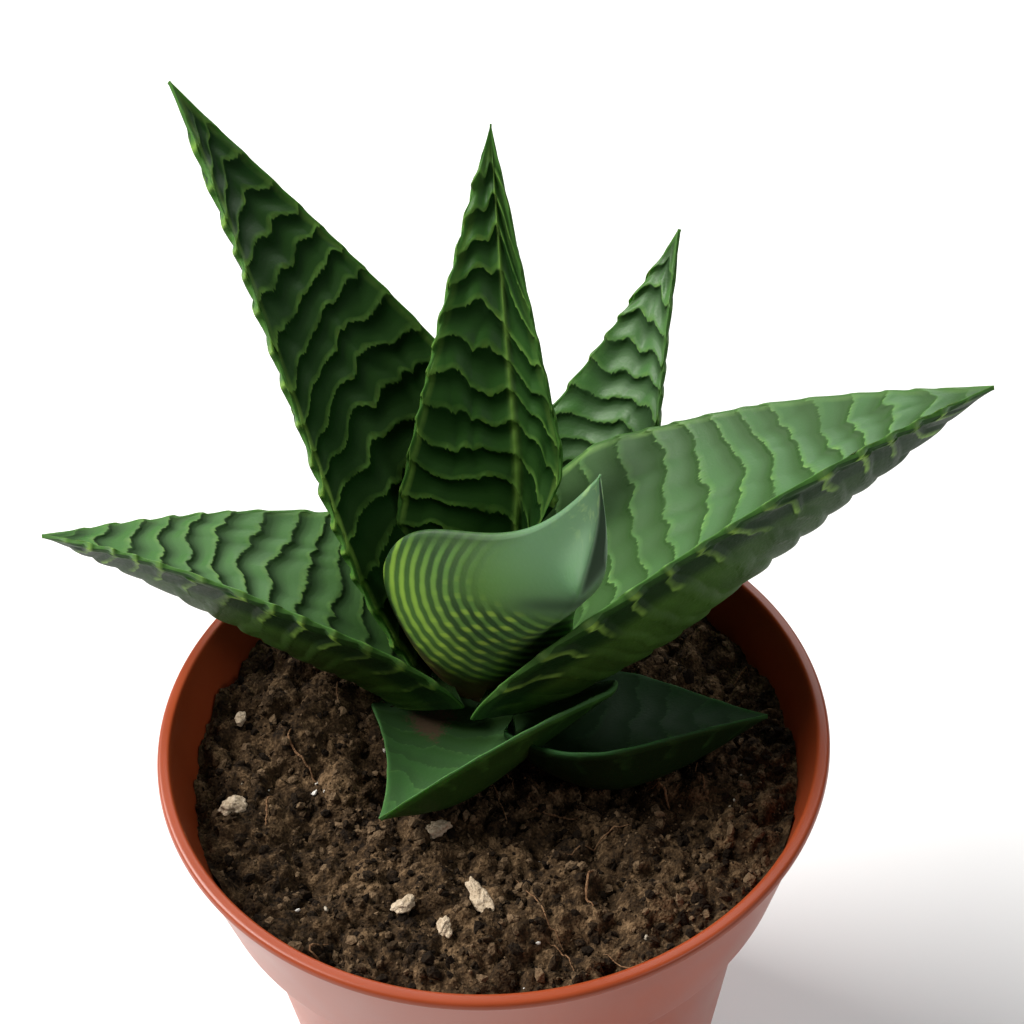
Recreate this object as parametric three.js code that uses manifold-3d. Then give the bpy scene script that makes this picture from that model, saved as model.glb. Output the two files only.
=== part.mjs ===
// A small haworthia in a plastic nursery pot, in millimetres with +Z up.
// The origin is the centre of the pot's underside and the plant's open side faces -Y.
import * as THREE from 'three'
import { mergeVertices } from 'three/addons/utils/BufferGeometryUtils.js'
import Module from 'manifold-3d'

const wasm = await Module()
wasm.setup()

const GAP = 0.3
const TAU = 2 * Math.PI

const rad = (degrees) => degrees * Math.PI / 180
const lerp = (a, b, t) => a + (b - a) * t
const clamp = (v, low, high) => Math.min(high, Math.max(low, v))

function smoothstep(low, high, v) {
  const t = clamp((v - low) / (high - low), 0, 1)
  return t * t * (3 - 2 * t)
}

// Solids: the joins and cuts run on closed triangle bodies.

function solidFrom(positions, triangles) {
  return new wasm.Manifold(new wasm.Mesh({
    numProp: 3,
    vertProperties: new Float32Array(positions),
    triVerts: new Uint32Array(triangles),
  }))
}

function solidFromGeometry(geometry) {
  geometry.deleteAttribute('normal')
  geometry.deleteAttribute('uv')
  const merged = mergeVertices(geometry, 1e-4)
  return solidFrom(merged.attributes.position.array, merged.index.array)
}

function largestPiece(solid) {
  const pieces = solid.decompose()
  return pieces.reduce((best, piece) => (piece.volume() > best.volume() ? piece : best))
}

function meshFrom(name, solid, material) {
  const data = solid.getMesh()
  const geometry = new THREE.BufferGeometry()
  geometry.setAttribute('position', new THREE.BufferAttribute(data.vertProperties, 3))
  geometry.setIndex(new THREE.BufferAttribute(data.triVerts, 1))
  geometry.computeVertexNormals()
  const mesh = new THREE.Mesh(geometry, material)
  mesh.name = name
  return mesh
}

// Materials: one for each kind of piece.

const material = (color, roughness) => new THREE.MeshStandardMaterial({ color, roughness, metalness: 0 })
const terracottaPlastic = material(0xb5583a, 0.4)
const pottingSoil = material(0x3b2a20, 1.0)
const greenLeaf = material(0x2f5a2a, 0.5)
const youngLeaf = material(0x5f8a3a, 0.5)
const stemTissue = material(0x6a4a30, 0.8)
const paleChip = material(0xcbb99a, 0.9)

// The pot: one moulding with a flat lip, a wide collar, a step and a tapered body.

const POT_RADIUS = 45
const POT_HEIGHT = 80
const POT_SECTORS = 40
const STEP_HEIGHT = 61
const DRAIN_RADIUS = 20

const POT_OUTSIDE = [
  [30.8, 0.0],
  [37.3, STEP_HEIGHT - 0.6],
  [40.6, STEP_HEIGHT],
  [44.2, POT_HEIGHT - 1.6],
  [POT_RADIUS, POT_HEIGHT - 0.9],
  [POT_RADIUS - 0.3, POT_HEIGHT],
]
const POT_INSIDE = [
  [43.3, POT_HEIGHT],
  [43.0, POT_HEIGHT - 0.9],
  [39.5, STEP_HEIGHT + 1.0],
  [36.1, STEP_HEIGHT - 0.4],
  [30.0, 3.2],
]
const POT_FLOOR = [
  [27.5, 1.6],
  [24.5, 3.4],
  [15.5, 3.4],
  [14.0, 1.4],
  [0.0, 1.4],
]
const POT_UNDERSIDE = [
  [0.0, 0.0],
  [14.5, 0.0],
  [16.0, 2.1],
  [24.0, 2.1],
  [26.5, 0.0],
]

function buildPot() {
  const profile = [...POT_UNDERSIDE, ...POT_OUTSIDE, ...POT_INSIDE, ...POT_FLOOR, POT_UNDERSIDE[0]]
  const lathe = new THREE.LatheGeometry(profile.map(([r, z]) => new THREE.Vector2(r, z)), POT_SECTORS)
  lathe.rotateX(Math.PI / 2)
  let pot = solidFromGeometry(lathe)
  for (let i = 0; i < 8; i++) {
    const angle = TAU * i / 8
    const drill = wasm.Manifold.cylinder(8, 3.5, 3.5, 8, true)
    pot = pot.subtract(drill.translate(DRAIN_RADIUS * Math.cos(angle), DRAIN_RADIUS * Math.sin(angle), 3))
  }
  return pot
}

// The soil: one lumpy body that fills the pot and dips in front of the plant.

const SOIL_LEVEL = 71.5
const SOIL_SECTORS = 40
const SOIL_RINGS = 11
const SOIL_FLOOR = 4
const SOIL_EDGE_RADIUS = 40.7

const SOIL_MOUNDS = [
  { x: -25, y: 9, height: 3.2, spread: 8 },
  { x: -30, y: 22, height: 1.4, spread: 9 },
  { x: 17, y: 26, height: 2.2, spread: 12 },
  { x: -24, y: -14, height: -3.0, spread: 8 },
  { x: 12, y: -6, height: -3.6, spread: 15 },
  { x: 6, y: 14, height: -2.4, spread: 14 },
  { x: -9, y: 2, height: -3.2, spread: 9 },
  { x: -6, y: -30, height: 1.0, spread: 9 },
  { x: 34, y: -8, height: 0.8, spread: 8 },
]

function soilHeight(x, y) {
  let z = SOIL_LEVEL
  for (const mound of SOIL_MOUNDS) {
    const near = ((x - mound.x) ** 2 + (y - mound.y) ** 2) / mound.spread ** 2
    z += mound.height * Math.exp(-near)
  }
  z += 0.55 * Math.sin(0.42 * x + 0.9) * Math.sin(0.37 * y + 0.4)
  z += 0.4 * Math.sin(0.95 * x + 0.31 * y) * Math.cos(0.27 * x - 0.88 * y + 1.1)
  return z
}

function buildSoil() {
  const wall = [
    [SOIL_EDGE_RADIUS - 0.5, SOIL_LEVEL - 3.5],
    [39.5 - GAP, STEP_HEIGHT + 1.3],
    [36.1 - GAP, STEP_HEIGHT],
    [29.9 - GAP, SOIL_FLOOR],
  ]
  const positions = [0, 0, soilHeight(0, 0)]
  const triangles = []
  const ring = (radius, heightAt) => {
    for (let i = 0; i < SOIL_SECTORS; i++) {
      const angle = TAU * i / SOIL_SECTORS
      const x = radius * Math.cos(angle)
      const y = radius * Math.sin(angle)
      positions.push(x, y, heightAt(x, y))
    }
  }
  for (let r = 1; r <= SOIL_RINGS; r++) ring(SOIL_EDGE_RADIUS * r / SOIL_RINGS, soilHeight)
  for (const [radius, z] of wall) ring(radius, () => z)
  positions.push(0, 0, SOIL_FLOOR)
  const rings = SOIL_RINGS + wall.length
  const at = (r, i) => 1 + r * SOIL_SECTORS + i % SOIL_SECTORS
  const last = 1 + rings * SOIL_SECTORS
  for (let i = 0; i < SOIL_SECTORS; i++) {
    triangles.push(0, at(0, i), at(0, i + 1))
    for (let r = 0; r < rings - 1; r++) {
      triangles.push(at(r, i), at(r + 1, i), at(r + 1, i + 1), at(r, i), at(r + 1, i + 1), at(r, i + 1))
    }
    triangles.push(last, at(rings - 1, i + 1), at(rings - 1, i))
  }
  return solidFrom(positions, triangles)
}

// The stem: a short stalk that stands in a plain hole in the soil and carries the leaves.

const STEM_X = 1
const STEM_Y = 13
const STEM_FOOT = 46
const STEM_TOP = 78.5

function buildStem(grow) {
  const profile = [
    [0, STEM_FOOT - grow],
    [2.6 + grow, STEM_FOOT - grow],
    [3.6 + grow, 60],
    [4.6 + grow, 70],
    [5.0 + grow, 75],
    [3.6 + grow, STEM_TOP + grow],
    [0, STEM_TOP + grow],
  ]
  const lathe = new THREE.LatheGeometry(profile.map(([r, z]) => new THREE.Vector2(r, z)), 16)
  lathe.rotateX(Math.PI / 2)
  lathe.translate(STEM_X, STEM_Y, 0)
  return solidFromGeometry(lathe)
}

// The leaves: each is one fleshy blade, hollow above, rounded or keeled below, with cross ridges.
// root is the middle of its base, azimuth and rise its heading in degrees, round the pot and up.
// cup and thick are the hollow's and the underside's depth as shares of the half width.
// fold and keel are where the hollow and the underside are deepest, from -1 to 1 across the leaf.
// slant, bow and vee turn, bend and fold the ridges, in ridges over half the width.
// flare widens one side about one place, and knobs is the share of the relief that each margin keeps.

const LEAVES = [
  {
    name: 'leaf_young_front', young: true, root: [-0.7, 9, 75.3], azimuth: -67.5, sweep: -7.5, sweepPower: 1.9,
    rise: 115.5, riseTip: 66, bendPower: 4.8, sag: 72.5, length: 81, width: 27, peak: 0.22, base: 0.32,
    taper: 1.2, cup: 0.44, cupTip: 0.19, thick: 0.29, thickTip: 0.67, roll: -44, rollTip: -41,
    keel: 0.04, keelTip: 0.85, nose: 2.2, ridges: 14, relief: 0.06, bow: 0.2, seed: 1, columns: 11,
  },
  {
    name: 'leaf_long_right', root: [-1.5, 14.5, 80], azimuth: -2, sweep: 8, rise: 73, riseTip: 3.5,
    bendPower: 0.56, length: 81.5, width: 40, peak: 0.3, base: 0.8, taper: 1.65, cup: 0.39, cupTip: 0.42,
    thick: 0.44, thickTip: 0.44, roll: -5, rollTip: -22, keel: -0.25, keelTip: -0.25, fold: -0.3,
    foldPower: 1.7, flareSide: 1, flare: 3, flarePlace: 0.31, flareReach: 0.11, ridges: 15, ridgePower: 1.3,
    relief: 0.5, slant: -0.5, slantTip: -0.4, bow: -0.5, knobs: 0.8, knobsFar: 0.25, seed: 2, columns: 9,
  },
  {
    name: 'leaf_spread_left', root: [-3, 16.5, 79.5], azimuth: 175, sweep: -3, rise: 61, riseTip: -6,
    bendPower: 0.5, length: 63, width: 30.5, peak: 0.28, base: 1.0, taper: 1.65, cup: 0.48, cupTip: 0.35,
    thick: 0.45, thickTip: 0.42, roll: 4, rollTip: 27, keel: 0.22, keelTip: 0.22, fold: 0.3,
    foldPower: 1.7, ridges: 14, ridgePower: 1.1, relief: 0.45, slant: 0.6, slantTip: 0.4, bow: -0.6,
    knobs: 0.4, knobsFar: 0.8, seed: 3, columns: 9,
  },
  {
    name: 'leaf_upright_middle', root: [0, 17, 76], azimuth: 82.5, sweep: -2, rise: 76, riseTip: 58.5,
    bendPower: 1, length: 73.5, width: 25, peak: 0.28, base: 0.85, taper: 1.05, cup: 0.34, cupTip: 0.34,
    thick: 0.25, thickTip: 0.25, roll: 0, rollTip: 0, keel: 0, keelTip: 0, fold: -0.36, foldPower: 1.3,
    flareSide: -1, flare: -5.5, flarePlace: 0.24, flareReach: 0.09, ridges: 16, relief: 0.5,
    slant: -1.4, slantTip: 0.5, bow: 0.8, bowTip: -0.7, vee: 2.2, knobs: 0.1, knobsFar: 0.5, seed: 4, columns: 9,
  },
  {
    name: 'leaf_tall_left', root: [4, 15.5, 75.5], azimuth: 135.5, sweep: -2, rise: 66, riseTip: 38.5,
    bendPower: 0.6, length: 93.5, width: 33, peak: 0.23, base: 0.82, taper: 1.35, cup: 0.3, cupTip: 0.3,
    thick: 0.25, thickTip: 0.25, roll: -17, rollTip: 18, keel: 0, keelTip: 0, fold: 0, foldPower: 2,
    ridges: 20, relief: 0.5, slant: 1.0, slantTip: 0.7, bow: -0.4, knobs: 0.05, knobsFar: 0.7, seed: 5, columns: 9,
  },
  {
    name: 'leaf_small_back', root: [2.6, 20.7, 70.2], azimuth: 49.5, sweep: -3, rise: 44.5, riseTip: 58,
    bendPower: 1, length: 66.9, width: 25.7, peak: 0.38, base: 0.8, taper: 1.02, cup: 0.25, cupTip: 0.25,
    thick: 0.3, thickTip: 0.3, roll: 10, rollTip: -14, keel: 0, keelTip: 0, fold: 0, foldPower: 2,
    ridges: 16, relief: 0.4, slant: 0, slantTip: 0, bow: -0.4, knobs: 0.15, knobsFar: 0.3, seed: 6, columns: 8,
  },
  {
    name: 'leaf_low_front', root: [0.9, 10.5, 74.7], azimuth: -114, sweep: -18, rise: 28, riseTip: -18.5,
    bendPower: 1, length: 31, width: 37.5, peak: 0.14, base: 0.95, taper: 1.2, cup: 0.13, cupTip: 0.7,
    thick: 0.18, thickTip: 0.7, roll: 16, rollTip: 36.5, keel: -0.18, keelTip: -0.18, fold: 0,
    foldPower: 2, ridges: 7, relief: 0.2, slant: 0, slantTip: 0, bow: 0.4, seed: 7, columns: 8,
  },
  {
    name: 'leaf_low_right', root: [2.7, 4.4, 76.3], azimuth: -11, sweep: 0, rise: 5, riseTip: 3,
    bendPower: 1, length: 35, width: 29, peak: 0.42, base: 0.45, taper: 1.55, cup: 0.35, cupTip: 0.35,
    thick: 0.32, thickTip: 0.32, roll: -17, rollTip: -36, keel: -0.28, keelTip: -0.28, fold: 0,
    foldPower: 2, ridges: 7, relief: 0.2, slant: 0, slantTip: 0, bow: 0.4, seed: 8, columns: 8,
  },
]
const MARGIN_THICKNESS = 1.2
const SPINE_STEPS = 240

// The spine is walked in short steps from the root, turning by azimuth and rise as it goes.
function walkSpine(leaf) {
  const step = leaf.length / SPINE_STEPS
  const heading = (s) => {
    const bend = s ** leaf.bendPower
    const rise = rad(lerp(leaf.rise, leaf.riseTip, bend) - (leaf.sag ?? 0) * Math.sin(Math.PI * s))
    const azimuth = rad(leaf.azimuth + leaf.sweep * s ** (leaf.sweepPower ?? 1))
    return { rise, azimuth }
  }
  const along = ({ rise, azimuth }) => new THREE.Vector3(
    Math.cos(rise) * Math.cos(azimuth), Math.cos(rise) * Math.sin(azimuth), Math.sin(rise))
  const places = [new THREE.Vector3(...leaf.root)]
  for (let i = 0; i < SPINE_STEPS; i++) {
    const middle = along(heading((i + 0.5) / SPINE_STEPS))
    places.push(places[i].clone().addScaledVector(middle, step))
  }
  return (s) => {
    const cell = clamp(s, 0, 1) * SPINE_STEPS
    const i = Math.min(Math.floor(cell), SPINE_STEPS - 1)
    const turn = heading(clamp(s, 0, 1))
    const forward = along(turn)
    const flat = new THREE.Vector3(-Math.sin(turn.azimuth), Math.cos(turn.azimuth), 0)
    const upright = forward.clone().cross(flat)
    const roll = rad(lerp(leaf.roll, leaf.rollTip, s))
    return {
      place: places[i].clone().lerp(places[i + 1], cell - i),
      forward,
      side: flat.clone().multiplyScalar(Math.cos(roll)).addScaledVector(upright, Math.sin(roll)),
      normal: upright.clone().multiplyScalar(Math.cos(roll)).addScaledVector(flat, -Math.sin(roll)),
    }
  }
}

// The half width swells from the base to its peak and then narrows to the tip.
function halfWidth(leaf, s) {
  const low = 1 - (1 - leaf.base) * clamp((leaf.peak - s) / leaf.peak, 0, 1) ** 2
  const high = 1 - clamp((s - leaf.peak) / (1 - leaf.peak), 0, 1) ** leaf.taper
  return leaf.width / 2 * low * high
}

// A ridge is where this count along the leaf is whole; it bows and wanders across the blade.
function ridgeCount(leaf, s, u, face) {
  const along = leaf.ridges * Math.max(s, 0) ** (leaf.ridgePower ?? 1)
  const slant = lerp(leaf.slant ?? 0, leaf.slantTip ?? 0, s)
  const bow = lerp(leaf.bow, leaf.bowTip ?? leaf.bow, s)
  const wander = 0.2 * Math.sin(3.1 * u + 0.9 * along + 1.7 * leaf.seed + 2.1 * face)
  const wave = 0.1 * Math.sin(7.7 * u - 1.3 * along + 2.9 * leaf.seed + 1.3 * face)
  const folded = (leaf.vee ?? 0) * Math.max((leaf.fold ?? 0) - u, 0)
  return along + slant * u + bow * (1 - u * u) + folded + wander + wave
}

function ridgePlace(leaf, count, u, face) {
  let s = count / leaf.ridges
  for (let i = 0; i < 12; i++) {
    s += (count - ridgeCount(leaf, s, u, face)) / leaf.ridges * 0.8
  }
  return s
}

// One point of a leaf: s runs from base to tip, u from one margin to the other.
function leafPoint(leaf, spineAt, s, u, face, raise, grow) {
  const { place, side, normal } = spineAt(s)
  const half = Math.max(halfWidth(leaf, s), 0.35)
  const cup = lerp(leaf.cup, leaf.cupTip, s)
  const depth = cup + lerp(leaf.thick, leaf.thickTip, s)
  const power = lerp(2.2, 1.3, s)
  const keel = lerp(leaf.keel, leaf.keelTip, s)
  const off = u > keel ? (u - keel) / (1 - keel) : (keel - u) / (1 + keel)
  const fold = leaf.fold ?? 0
  const away = u > fold ? (u - fold) / (1 - fold) : (fold - u) / (1 + fold)
  const top = -cup * half * (1 - away ** (leaf.foldPower ?? 2))
  const nose = (leaf.nose ?? 0) * Math.exp(-(((s - 0.82) / 0.06) ** 2) - ((u - keel) / 0.5) ** 2)
  const flesh = Math.max(depth * half * (1 - off ** power) + nose + top, 0)
  const thickness = Math.hypot(flesh, lerp(MARGIN_THICKNESS, 0.6, s))
  const knobs = lerp(leaf.knobs ?? 0.5, leaf.knobsFar ?? 0.5, (u + 1) / 2)
  const ridge = raise * (1 - (1 - knobs) * smoothstep(0.7, 1, Math.abs(u)))
  const lift = face === 0 ? top + ridge + grow : top - thickness - ridge - grow
  const reach = half + 0.4 * ridge * u * u + grow
  const flareSide = leaf.flareSide ?? 1
  const flareShare = Math.exp(-(((s - (leaf.flarePlace ?? 0)) / (leaf.flareReach ?? 1)) ** 2))
  const flare = (leaf.flare ?? 0) * flareShare * Math.max(u * flareSide, 0) ** 2
  return place.clone().addScaledVector(side, reach * u + flareSide * flare).addScaledVector(normal, lift)
}

// Rows run across the blade, one in each trough and one on the crest that stands steeply over it on
// the tip's side. Both faces are split alike.
function buildLeaf(leaf, rows, grow) {
  const spineAt = walkSpine(leaf)
  const columns = leaf.columns
  const perRow = 2 * (columns + 1)
  const positions = []
  for (const row of rows) {
    for (const face of [0, 1]) {
      for (let k = 0; k <= columns; k++) {
        const u = Math.sin(Math.PI / 2 * (2 * k / columns - 1) * 0.9) / Math.sin(Math.PI / 2 * 0.9)
        const s = clamp(row.placeAt(u, face), 0, 1)
        const fade = smoothstep(0.02, 0.1, s) * (1 - smoothstep(0.9, 0.99, s))
        const raise = row.crest * leaf.relief * fade
        positions.push(...leafPoint(leaf, spineAt, s, u, face, raise, grow).toArray())
      }
    }
  }
  const top = (j, k) => j * perRow + k
  const under = (j, k) => j * perRow + columns + 1 + k
  const triangles = []
  for (let j = 0; j < rows.length - 1; j++) {
    for (let k = 0; k < columns; k++) {
      triangles.push(top(j, k), top(j + 1, k), top(j + 1, k + 1), top(j, k), top(j + 1, k + 1), top(j, k + 1))
      triangles.push(under(j, k), under(j + 1, k + 1), under(j + 1, k))
      triangles.push(under(j, k), under(j, k + 1), under(j + 1, k + 1))
    }
    triangles.push(top(j, 0), under(j, 0), under(j + 1, 0), top(j, 0), under(j + 1, 0), top(j + 1, 0))
    const c = columns
    triangles.push(top(j, c), top(j + 1, c), under(j + 1, c), top(j, c), under(j + 1, c), under(j, c))
  }
  const last = rows.length - 1
  for (let k = 0; k < columns; k++) {
    triangles.push(top(0, k), top(0, k + 1), under(0, k + 1), top(0, k), under(0, k + 1), under(0, k))
    triangles.push(top(last, k), under(last, k + 1), top(last, k + 1))
    triangles.push(top(last, k), under(last, k), under(last, k + 1))
  }
  return solidFrom(positions, triangles)
}

function ridgedRows(leaf) {
  const rows = [{ crest: 0, placeAt: () => 0 }]
  for (let i = 1; i < leaf.ridges; i++) {
    rows.push({ crest: 0, placeAt: (u, face) => ridgePlace(leaf, i + 0.28, u, face) })
    rows.push({ crest: 1, placeAt: (u, face) => ridgePlace(leaf, i + 0.58, u, face) })
  }
  rows.push({ crest: 0, placeAt: () => 1 })
  return rows
}

function smoothRows(count) {
  return Array.from({ length: count + 1 }, (_, i) => ({ crest: 0, placeAt: () => i / count }))
}

// Pale chips of bark and grit lie half sunk in the soil.

const CHIPS = [
  { name: 'chip_front', x: -3, y: -24.5, length: 6.4, width: 2.4, height: 1.6, turn: 115 },
  { name: 'chip_front_small', x: -7.5, y: -29, length: 3.2, width: 1.9, height: 1.3, turn: 100 },
  { name: 'chip_left_front', x: -12.5, y: -24.5, length: 3.4, width: 2.2, height: 1.4, turn: 40 },
  { name: 'chip_left', x: -35.5, y: -7, length: 4.0, width: 3.0, height: 1.8, turn: 30 },
  { name: 'chip_under_leaf', x: -8.5, y: -12, length: 4.2, width: 2.4, height: 1.6, turn: 10 },
  { name: 'chip_left_back', x: -35.5, y: 8, length: 2.4, width: 1.6, height: 1.2, turn: 70 },
]

function buildChip(chip, index, grow) {
  const ball = new THREE.IcosahedronGeometry(1, 1)
  const points = ball.attributes.position
  const v = new THREE.Vector3()
  for (let i = 0; i < points.count; i++) {
    v.fromBufferAttribute(points, i)
    const hollow = 0.16 * Math.sin(3.3 * v.x + 2 * index) * Math.cos(2.9 * v.y - index)
    v.multiplyScalar(1 + hollow + 0.1 * Math.sin(5 * v.z + index))
    points.setXYZ(i, v.x * (chip.length / 2 + grow), v.y * (chip.width / 2 + grow), v.z * (chip.height / 2 + grow))
  }
  ball.rotateZ(rad(chip.turn))
  ball.translate(chip.x, chip.y, soilHeight(chip.x, chip.y) + 0.3)
  return solidFromGeometry(ball)
}

// Assembly: the youngest leaf is whole and each older one clasps what was placed before it.

const plant = new THREE.Group()
const envelopes = [buildStem(GAP)]
const blades = []
plant.add(meshFrom('stem', buildStem(0), stemTissue))

for (const leaf of LEAVES) {
  let blade = buildLeaf(leaf, ridgedRows(leaf), 0)
  for (const cutter of [...envelopes, ...blades]) blade = blade.subtract(cutter)
  blade = largestPiece(blade)
  plant.add(meshFrom(leaf.name, blade, leaf.young ? youngLeaf : greenLeaf))
  envelopes.push(buildLeaf({ ...leaf, columns: 8 }, smoothRows(20), GAP + 0.2 + leaf.relief))
  blades.push(blade)
}

const chipBodies = CHIPS.map((chip, i) => buildChip(chip, i, 0))
let soil = buildSoil()
for (const cutter of envelopes) soil = soil.subtract(cutter)
CHIPS.forEach((chip, i) => { soil = soil.subtract(buildChip(chip, i, GAP)) })
soil = largestPiece(soil)

const potted = new THREE.Group()
potted.add(meshFrom('pot', buildPot(), terracottaPlastic))
potted.add(meshFrom('soil', soil, pottingSoil))
CHIPS.forEach((chip, i) => potted.add(meshFrom(chip.name, chipBodies[i], paleChip)))
potted.add(plant)

export default potted
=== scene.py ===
import bmesh
import bpy
import numpy as np
from mathutils import Matrix


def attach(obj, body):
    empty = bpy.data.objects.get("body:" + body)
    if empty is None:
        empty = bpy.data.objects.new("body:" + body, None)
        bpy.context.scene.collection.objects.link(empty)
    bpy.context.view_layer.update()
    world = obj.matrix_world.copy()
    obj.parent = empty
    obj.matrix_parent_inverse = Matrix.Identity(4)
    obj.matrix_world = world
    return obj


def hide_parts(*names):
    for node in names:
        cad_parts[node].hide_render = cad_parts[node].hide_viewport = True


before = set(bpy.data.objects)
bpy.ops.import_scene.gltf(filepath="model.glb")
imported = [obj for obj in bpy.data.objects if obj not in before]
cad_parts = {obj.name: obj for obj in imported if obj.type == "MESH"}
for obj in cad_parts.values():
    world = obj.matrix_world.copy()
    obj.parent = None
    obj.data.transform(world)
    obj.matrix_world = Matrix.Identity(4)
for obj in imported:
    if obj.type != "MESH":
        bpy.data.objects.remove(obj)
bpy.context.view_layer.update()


# The view: the camera stands before the pot and looks down into the plant from about forty degrees.
# Lengths in this file are millimetres in the frame's axes, and MM turns them into metres.

MM = 0.001
CAMERA_PLACE = (0.0, -147.12, 239.99)
CAMERA_RIGHT = (0.9981, -0.0528, -0.0321)
CAMERA_UP = (0.0586, 0.6452, 0.7618)
CAMERA_BACK = (-0.0195, -0.7622, 0.6471)


def add_object(name, data):
    """A new object with this data, unturned at the scene's origin."""
    new = bpy.data.objects.new(name, data)
    bpy.context.scene.collection.objects.link(new)
    return new


def standing(place, right, up, back):
    """The matrix that stands a camera or lamp at a place in millimetres, its axes along these
    directions."""
    matrix = np.eye(4)
    matrix[:3] = np.stack([right, up, back, np.array(place) * MM], axis=-1)
    return Matrix(matrix.tolist())


camera_data = bpy.data.cameras.new("camera")
camera_data.lens = 56.25
camera_data.sensor_width = 36.0
camera_data.clip_start = 0.01
camera = add_object("camera", camera_data)
camera.matrix_world = standing(CAMERA_PLACE, CAMERA_RIGHT, CAMERA_UP, CAMERA_BACK)
bpy.context.scene.camera = camera


# The pot: a nursery pot of terracotta-coloured polypropylene, injected in one piece.
# It has a flat lip with a rounded edge, a wide collar, a step under it, and a floor with drain holes.

POT_SECTORS = 220
POT_OUTSIDE = [
    # radius, height, fillet radius
    (0.0, 0.0, 0.0), (14.5, 0.0, 0.4), (16.0, 2.1, 0.4), (24.0, 2.1, 0.4), (26.5, 0.0, 0.5),
    (30.8, 0.0, 0.8), (37.3, 60.4, 0.5), (40.6, 61.0, 0.7), (44.2, 78.4, 0.5), (45.0, 79.0, 0.35),
    (44.75, 80.0, 0.5),
]
POT_INSIDE = [
    (43.3, 80.0, 0.4), (43.0, 79.1, 0.3), (39.5, 62.0, 0.6), (36.1, 60.6, 0.6), (30.0, 3.2, 0.8),
    (27.5, 1.6, 0.6), (24.5, 3.4, 0.4), (15.5, 3.4, 0.4), (14.0, 1.4, 0.4), (0.0, 1.4, 0.0),
]
DRAIN_HOLES = 8
DRAIN_RADIUS = 3.5
DRAIN_RING_RADIUS = 20.0
DRILL_LENGTH = 8.0
DRILL_MIDDLE = 3.0


def rounded_profile(corners, steps=4):
    """Each corner becomes a short quadratic curve that starts and ends one fillet radius from it."""
    points = np.array([corner[:2] for corner in corners])
    smooth = [points[0]]
    for i in range(1, len(points) - 1):
        before = points[i - 1] - points[i]
        after = points[i + 1] - points[i]
        reach = min(corners[i][2], np.linalg.norm(before) / 2.2, np.linalg.norm(after) / 2.2)
        start = points[i] + before / np.linalg.norm(before) * reach
        end = points[i] + after / np.linalg.norm(after) * reach
        for t in np.linspace(0, 1, steps + 1):
            smooth.append((1 - t) ** 2 * start + 2 * t * (1 - t) * points[i] + t ** 2 * end)
    smooth.append(points[-1])
    return np.array(smooth)


def grid_faces(rows, columns, wrapped):
    """Quads between neighbouring rows and columns; when wrapped, the last column joins the first."""
    row = np.arange(rows - 1)[:, None]
    column = np.arange(columns if wrapped else columns - 1)[None, :]
    here = row * columns + column
    right = row * columns + (column + 1) % columns
    corners = np.broadcast_arrays(here, right, right + columns, here + columns)
    return np.stack(corners, axis=-1).reshape(-1, 4)


def turned_grid(profile, sectors):
    """A profile of radius and height goes once round the Z axis: x = r cos a, y = r sin a, z = height."""
    angle = np.arange(sectors) / sectors * 2 * np.pi
    x = profile[:, 0, None] * np.cos(angle)
    y = profile[:, 0, None] * np.sin(angle)
    z = np.broadcast_to(profile[:, 1, None], x.shape)
    return np.stack([x, y, z], axis=-1).reshape(-1, 3), grid_faces(len(profile), sectors, wrapped=True)


def mesh_from(name, points, faces, values=None):
    """Points in millimetres and faces of three or four corners make a mesh, with one value a point for each
    named attribute. Doubled points at poles are merged, and a closed shell that is inside out is turned."""
    mesh = bpy.data.meshes.new(name)
    mesh.vertices.add(len(points))
    mesh.vertices.foreach_set("co", (np.asarray(points) * MM).ravel())
    mesh.loops.add(faces.size)
    mesh.loops.foreach_set("vertex_index", faces.ravel())
    mesh.polygons.add(len(faces))
    mesh.polygons.foreach_set("loop_start", np.arange(len(faces)) * faces.shape[1])
    mesh.update(calc_edges=True)
    for key, array in (values or {}).items():
        attribute = mesh.attributes.new(key, "FLOAT", "POINT")
        attribute.data.foreach_set("value", np.asarray(array, dtype=float).ravel())
    shell = bmesh.new()
    shell.from_mesh(mesh)
    bmesh.ops.remove_doubles(shell, verts=shell.verts, dist=1e-7)
    if shell.calc_volume(signed=True) < 0:
        bmesh.ops.reverse_faces(shell, faces=shell.faces)
    shell.to_mesh(mesh)
    shell.free()
    mesh.polygons.foreach_set("use_smooth", np.ones(len(mesh.polygons), dtype=bool))
    return mesh


def place_piece(name, mesh, material, replaced=()):
    """The mesh becomes a piece: it gets its material, rides with the frame and may stand for CAD nodes."""
    piece = add_object(name, mesh)
    mesh.materials.clear()
    mesh.materials.append(material)
    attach(piece, "root")
    if replaced:
        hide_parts(*replaced)
    return piece


def add_node(tree, kind, sockets=None, **settings):
    """A shader node with its settings; each named or numbered socket gets a value or a link."""
    new = tree.nodes.new(kind)
    for key, value in settings.items():
        setattr(new, key, value)
    for key, value in (sockets or {}).items():
        if isinstance(value, bpy.types.NodeSocket):
            tree.links.new(value, new.inputs[key])
        else:
            new.inputs[key].default_value = value
    return new


def start_material(name, **plain):
    """A material with one Principled BSDF, whose plain values are set on its own sockets."""
    material = bpy.data.materials.new(name)
    material.use_nodes = True
    tree = material.node_tree
    shader = tree.nodes["Principled BSDF"]
    for key, value in plain.items():
        shader.inputs[key.replace("_", " ")].default_value = value
    return material, tree, shader


def painted(colour):
    """A colour of three parts, or a grey of one, gets its fourth part; a socket stays as it is."""
    if isinstance(colour, bpy.types.NodeSocket):
        return colour
    parts = colour if isinstance(colour, tuple) else (colour,) * 3
    return (*parts, 1.0)


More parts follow.
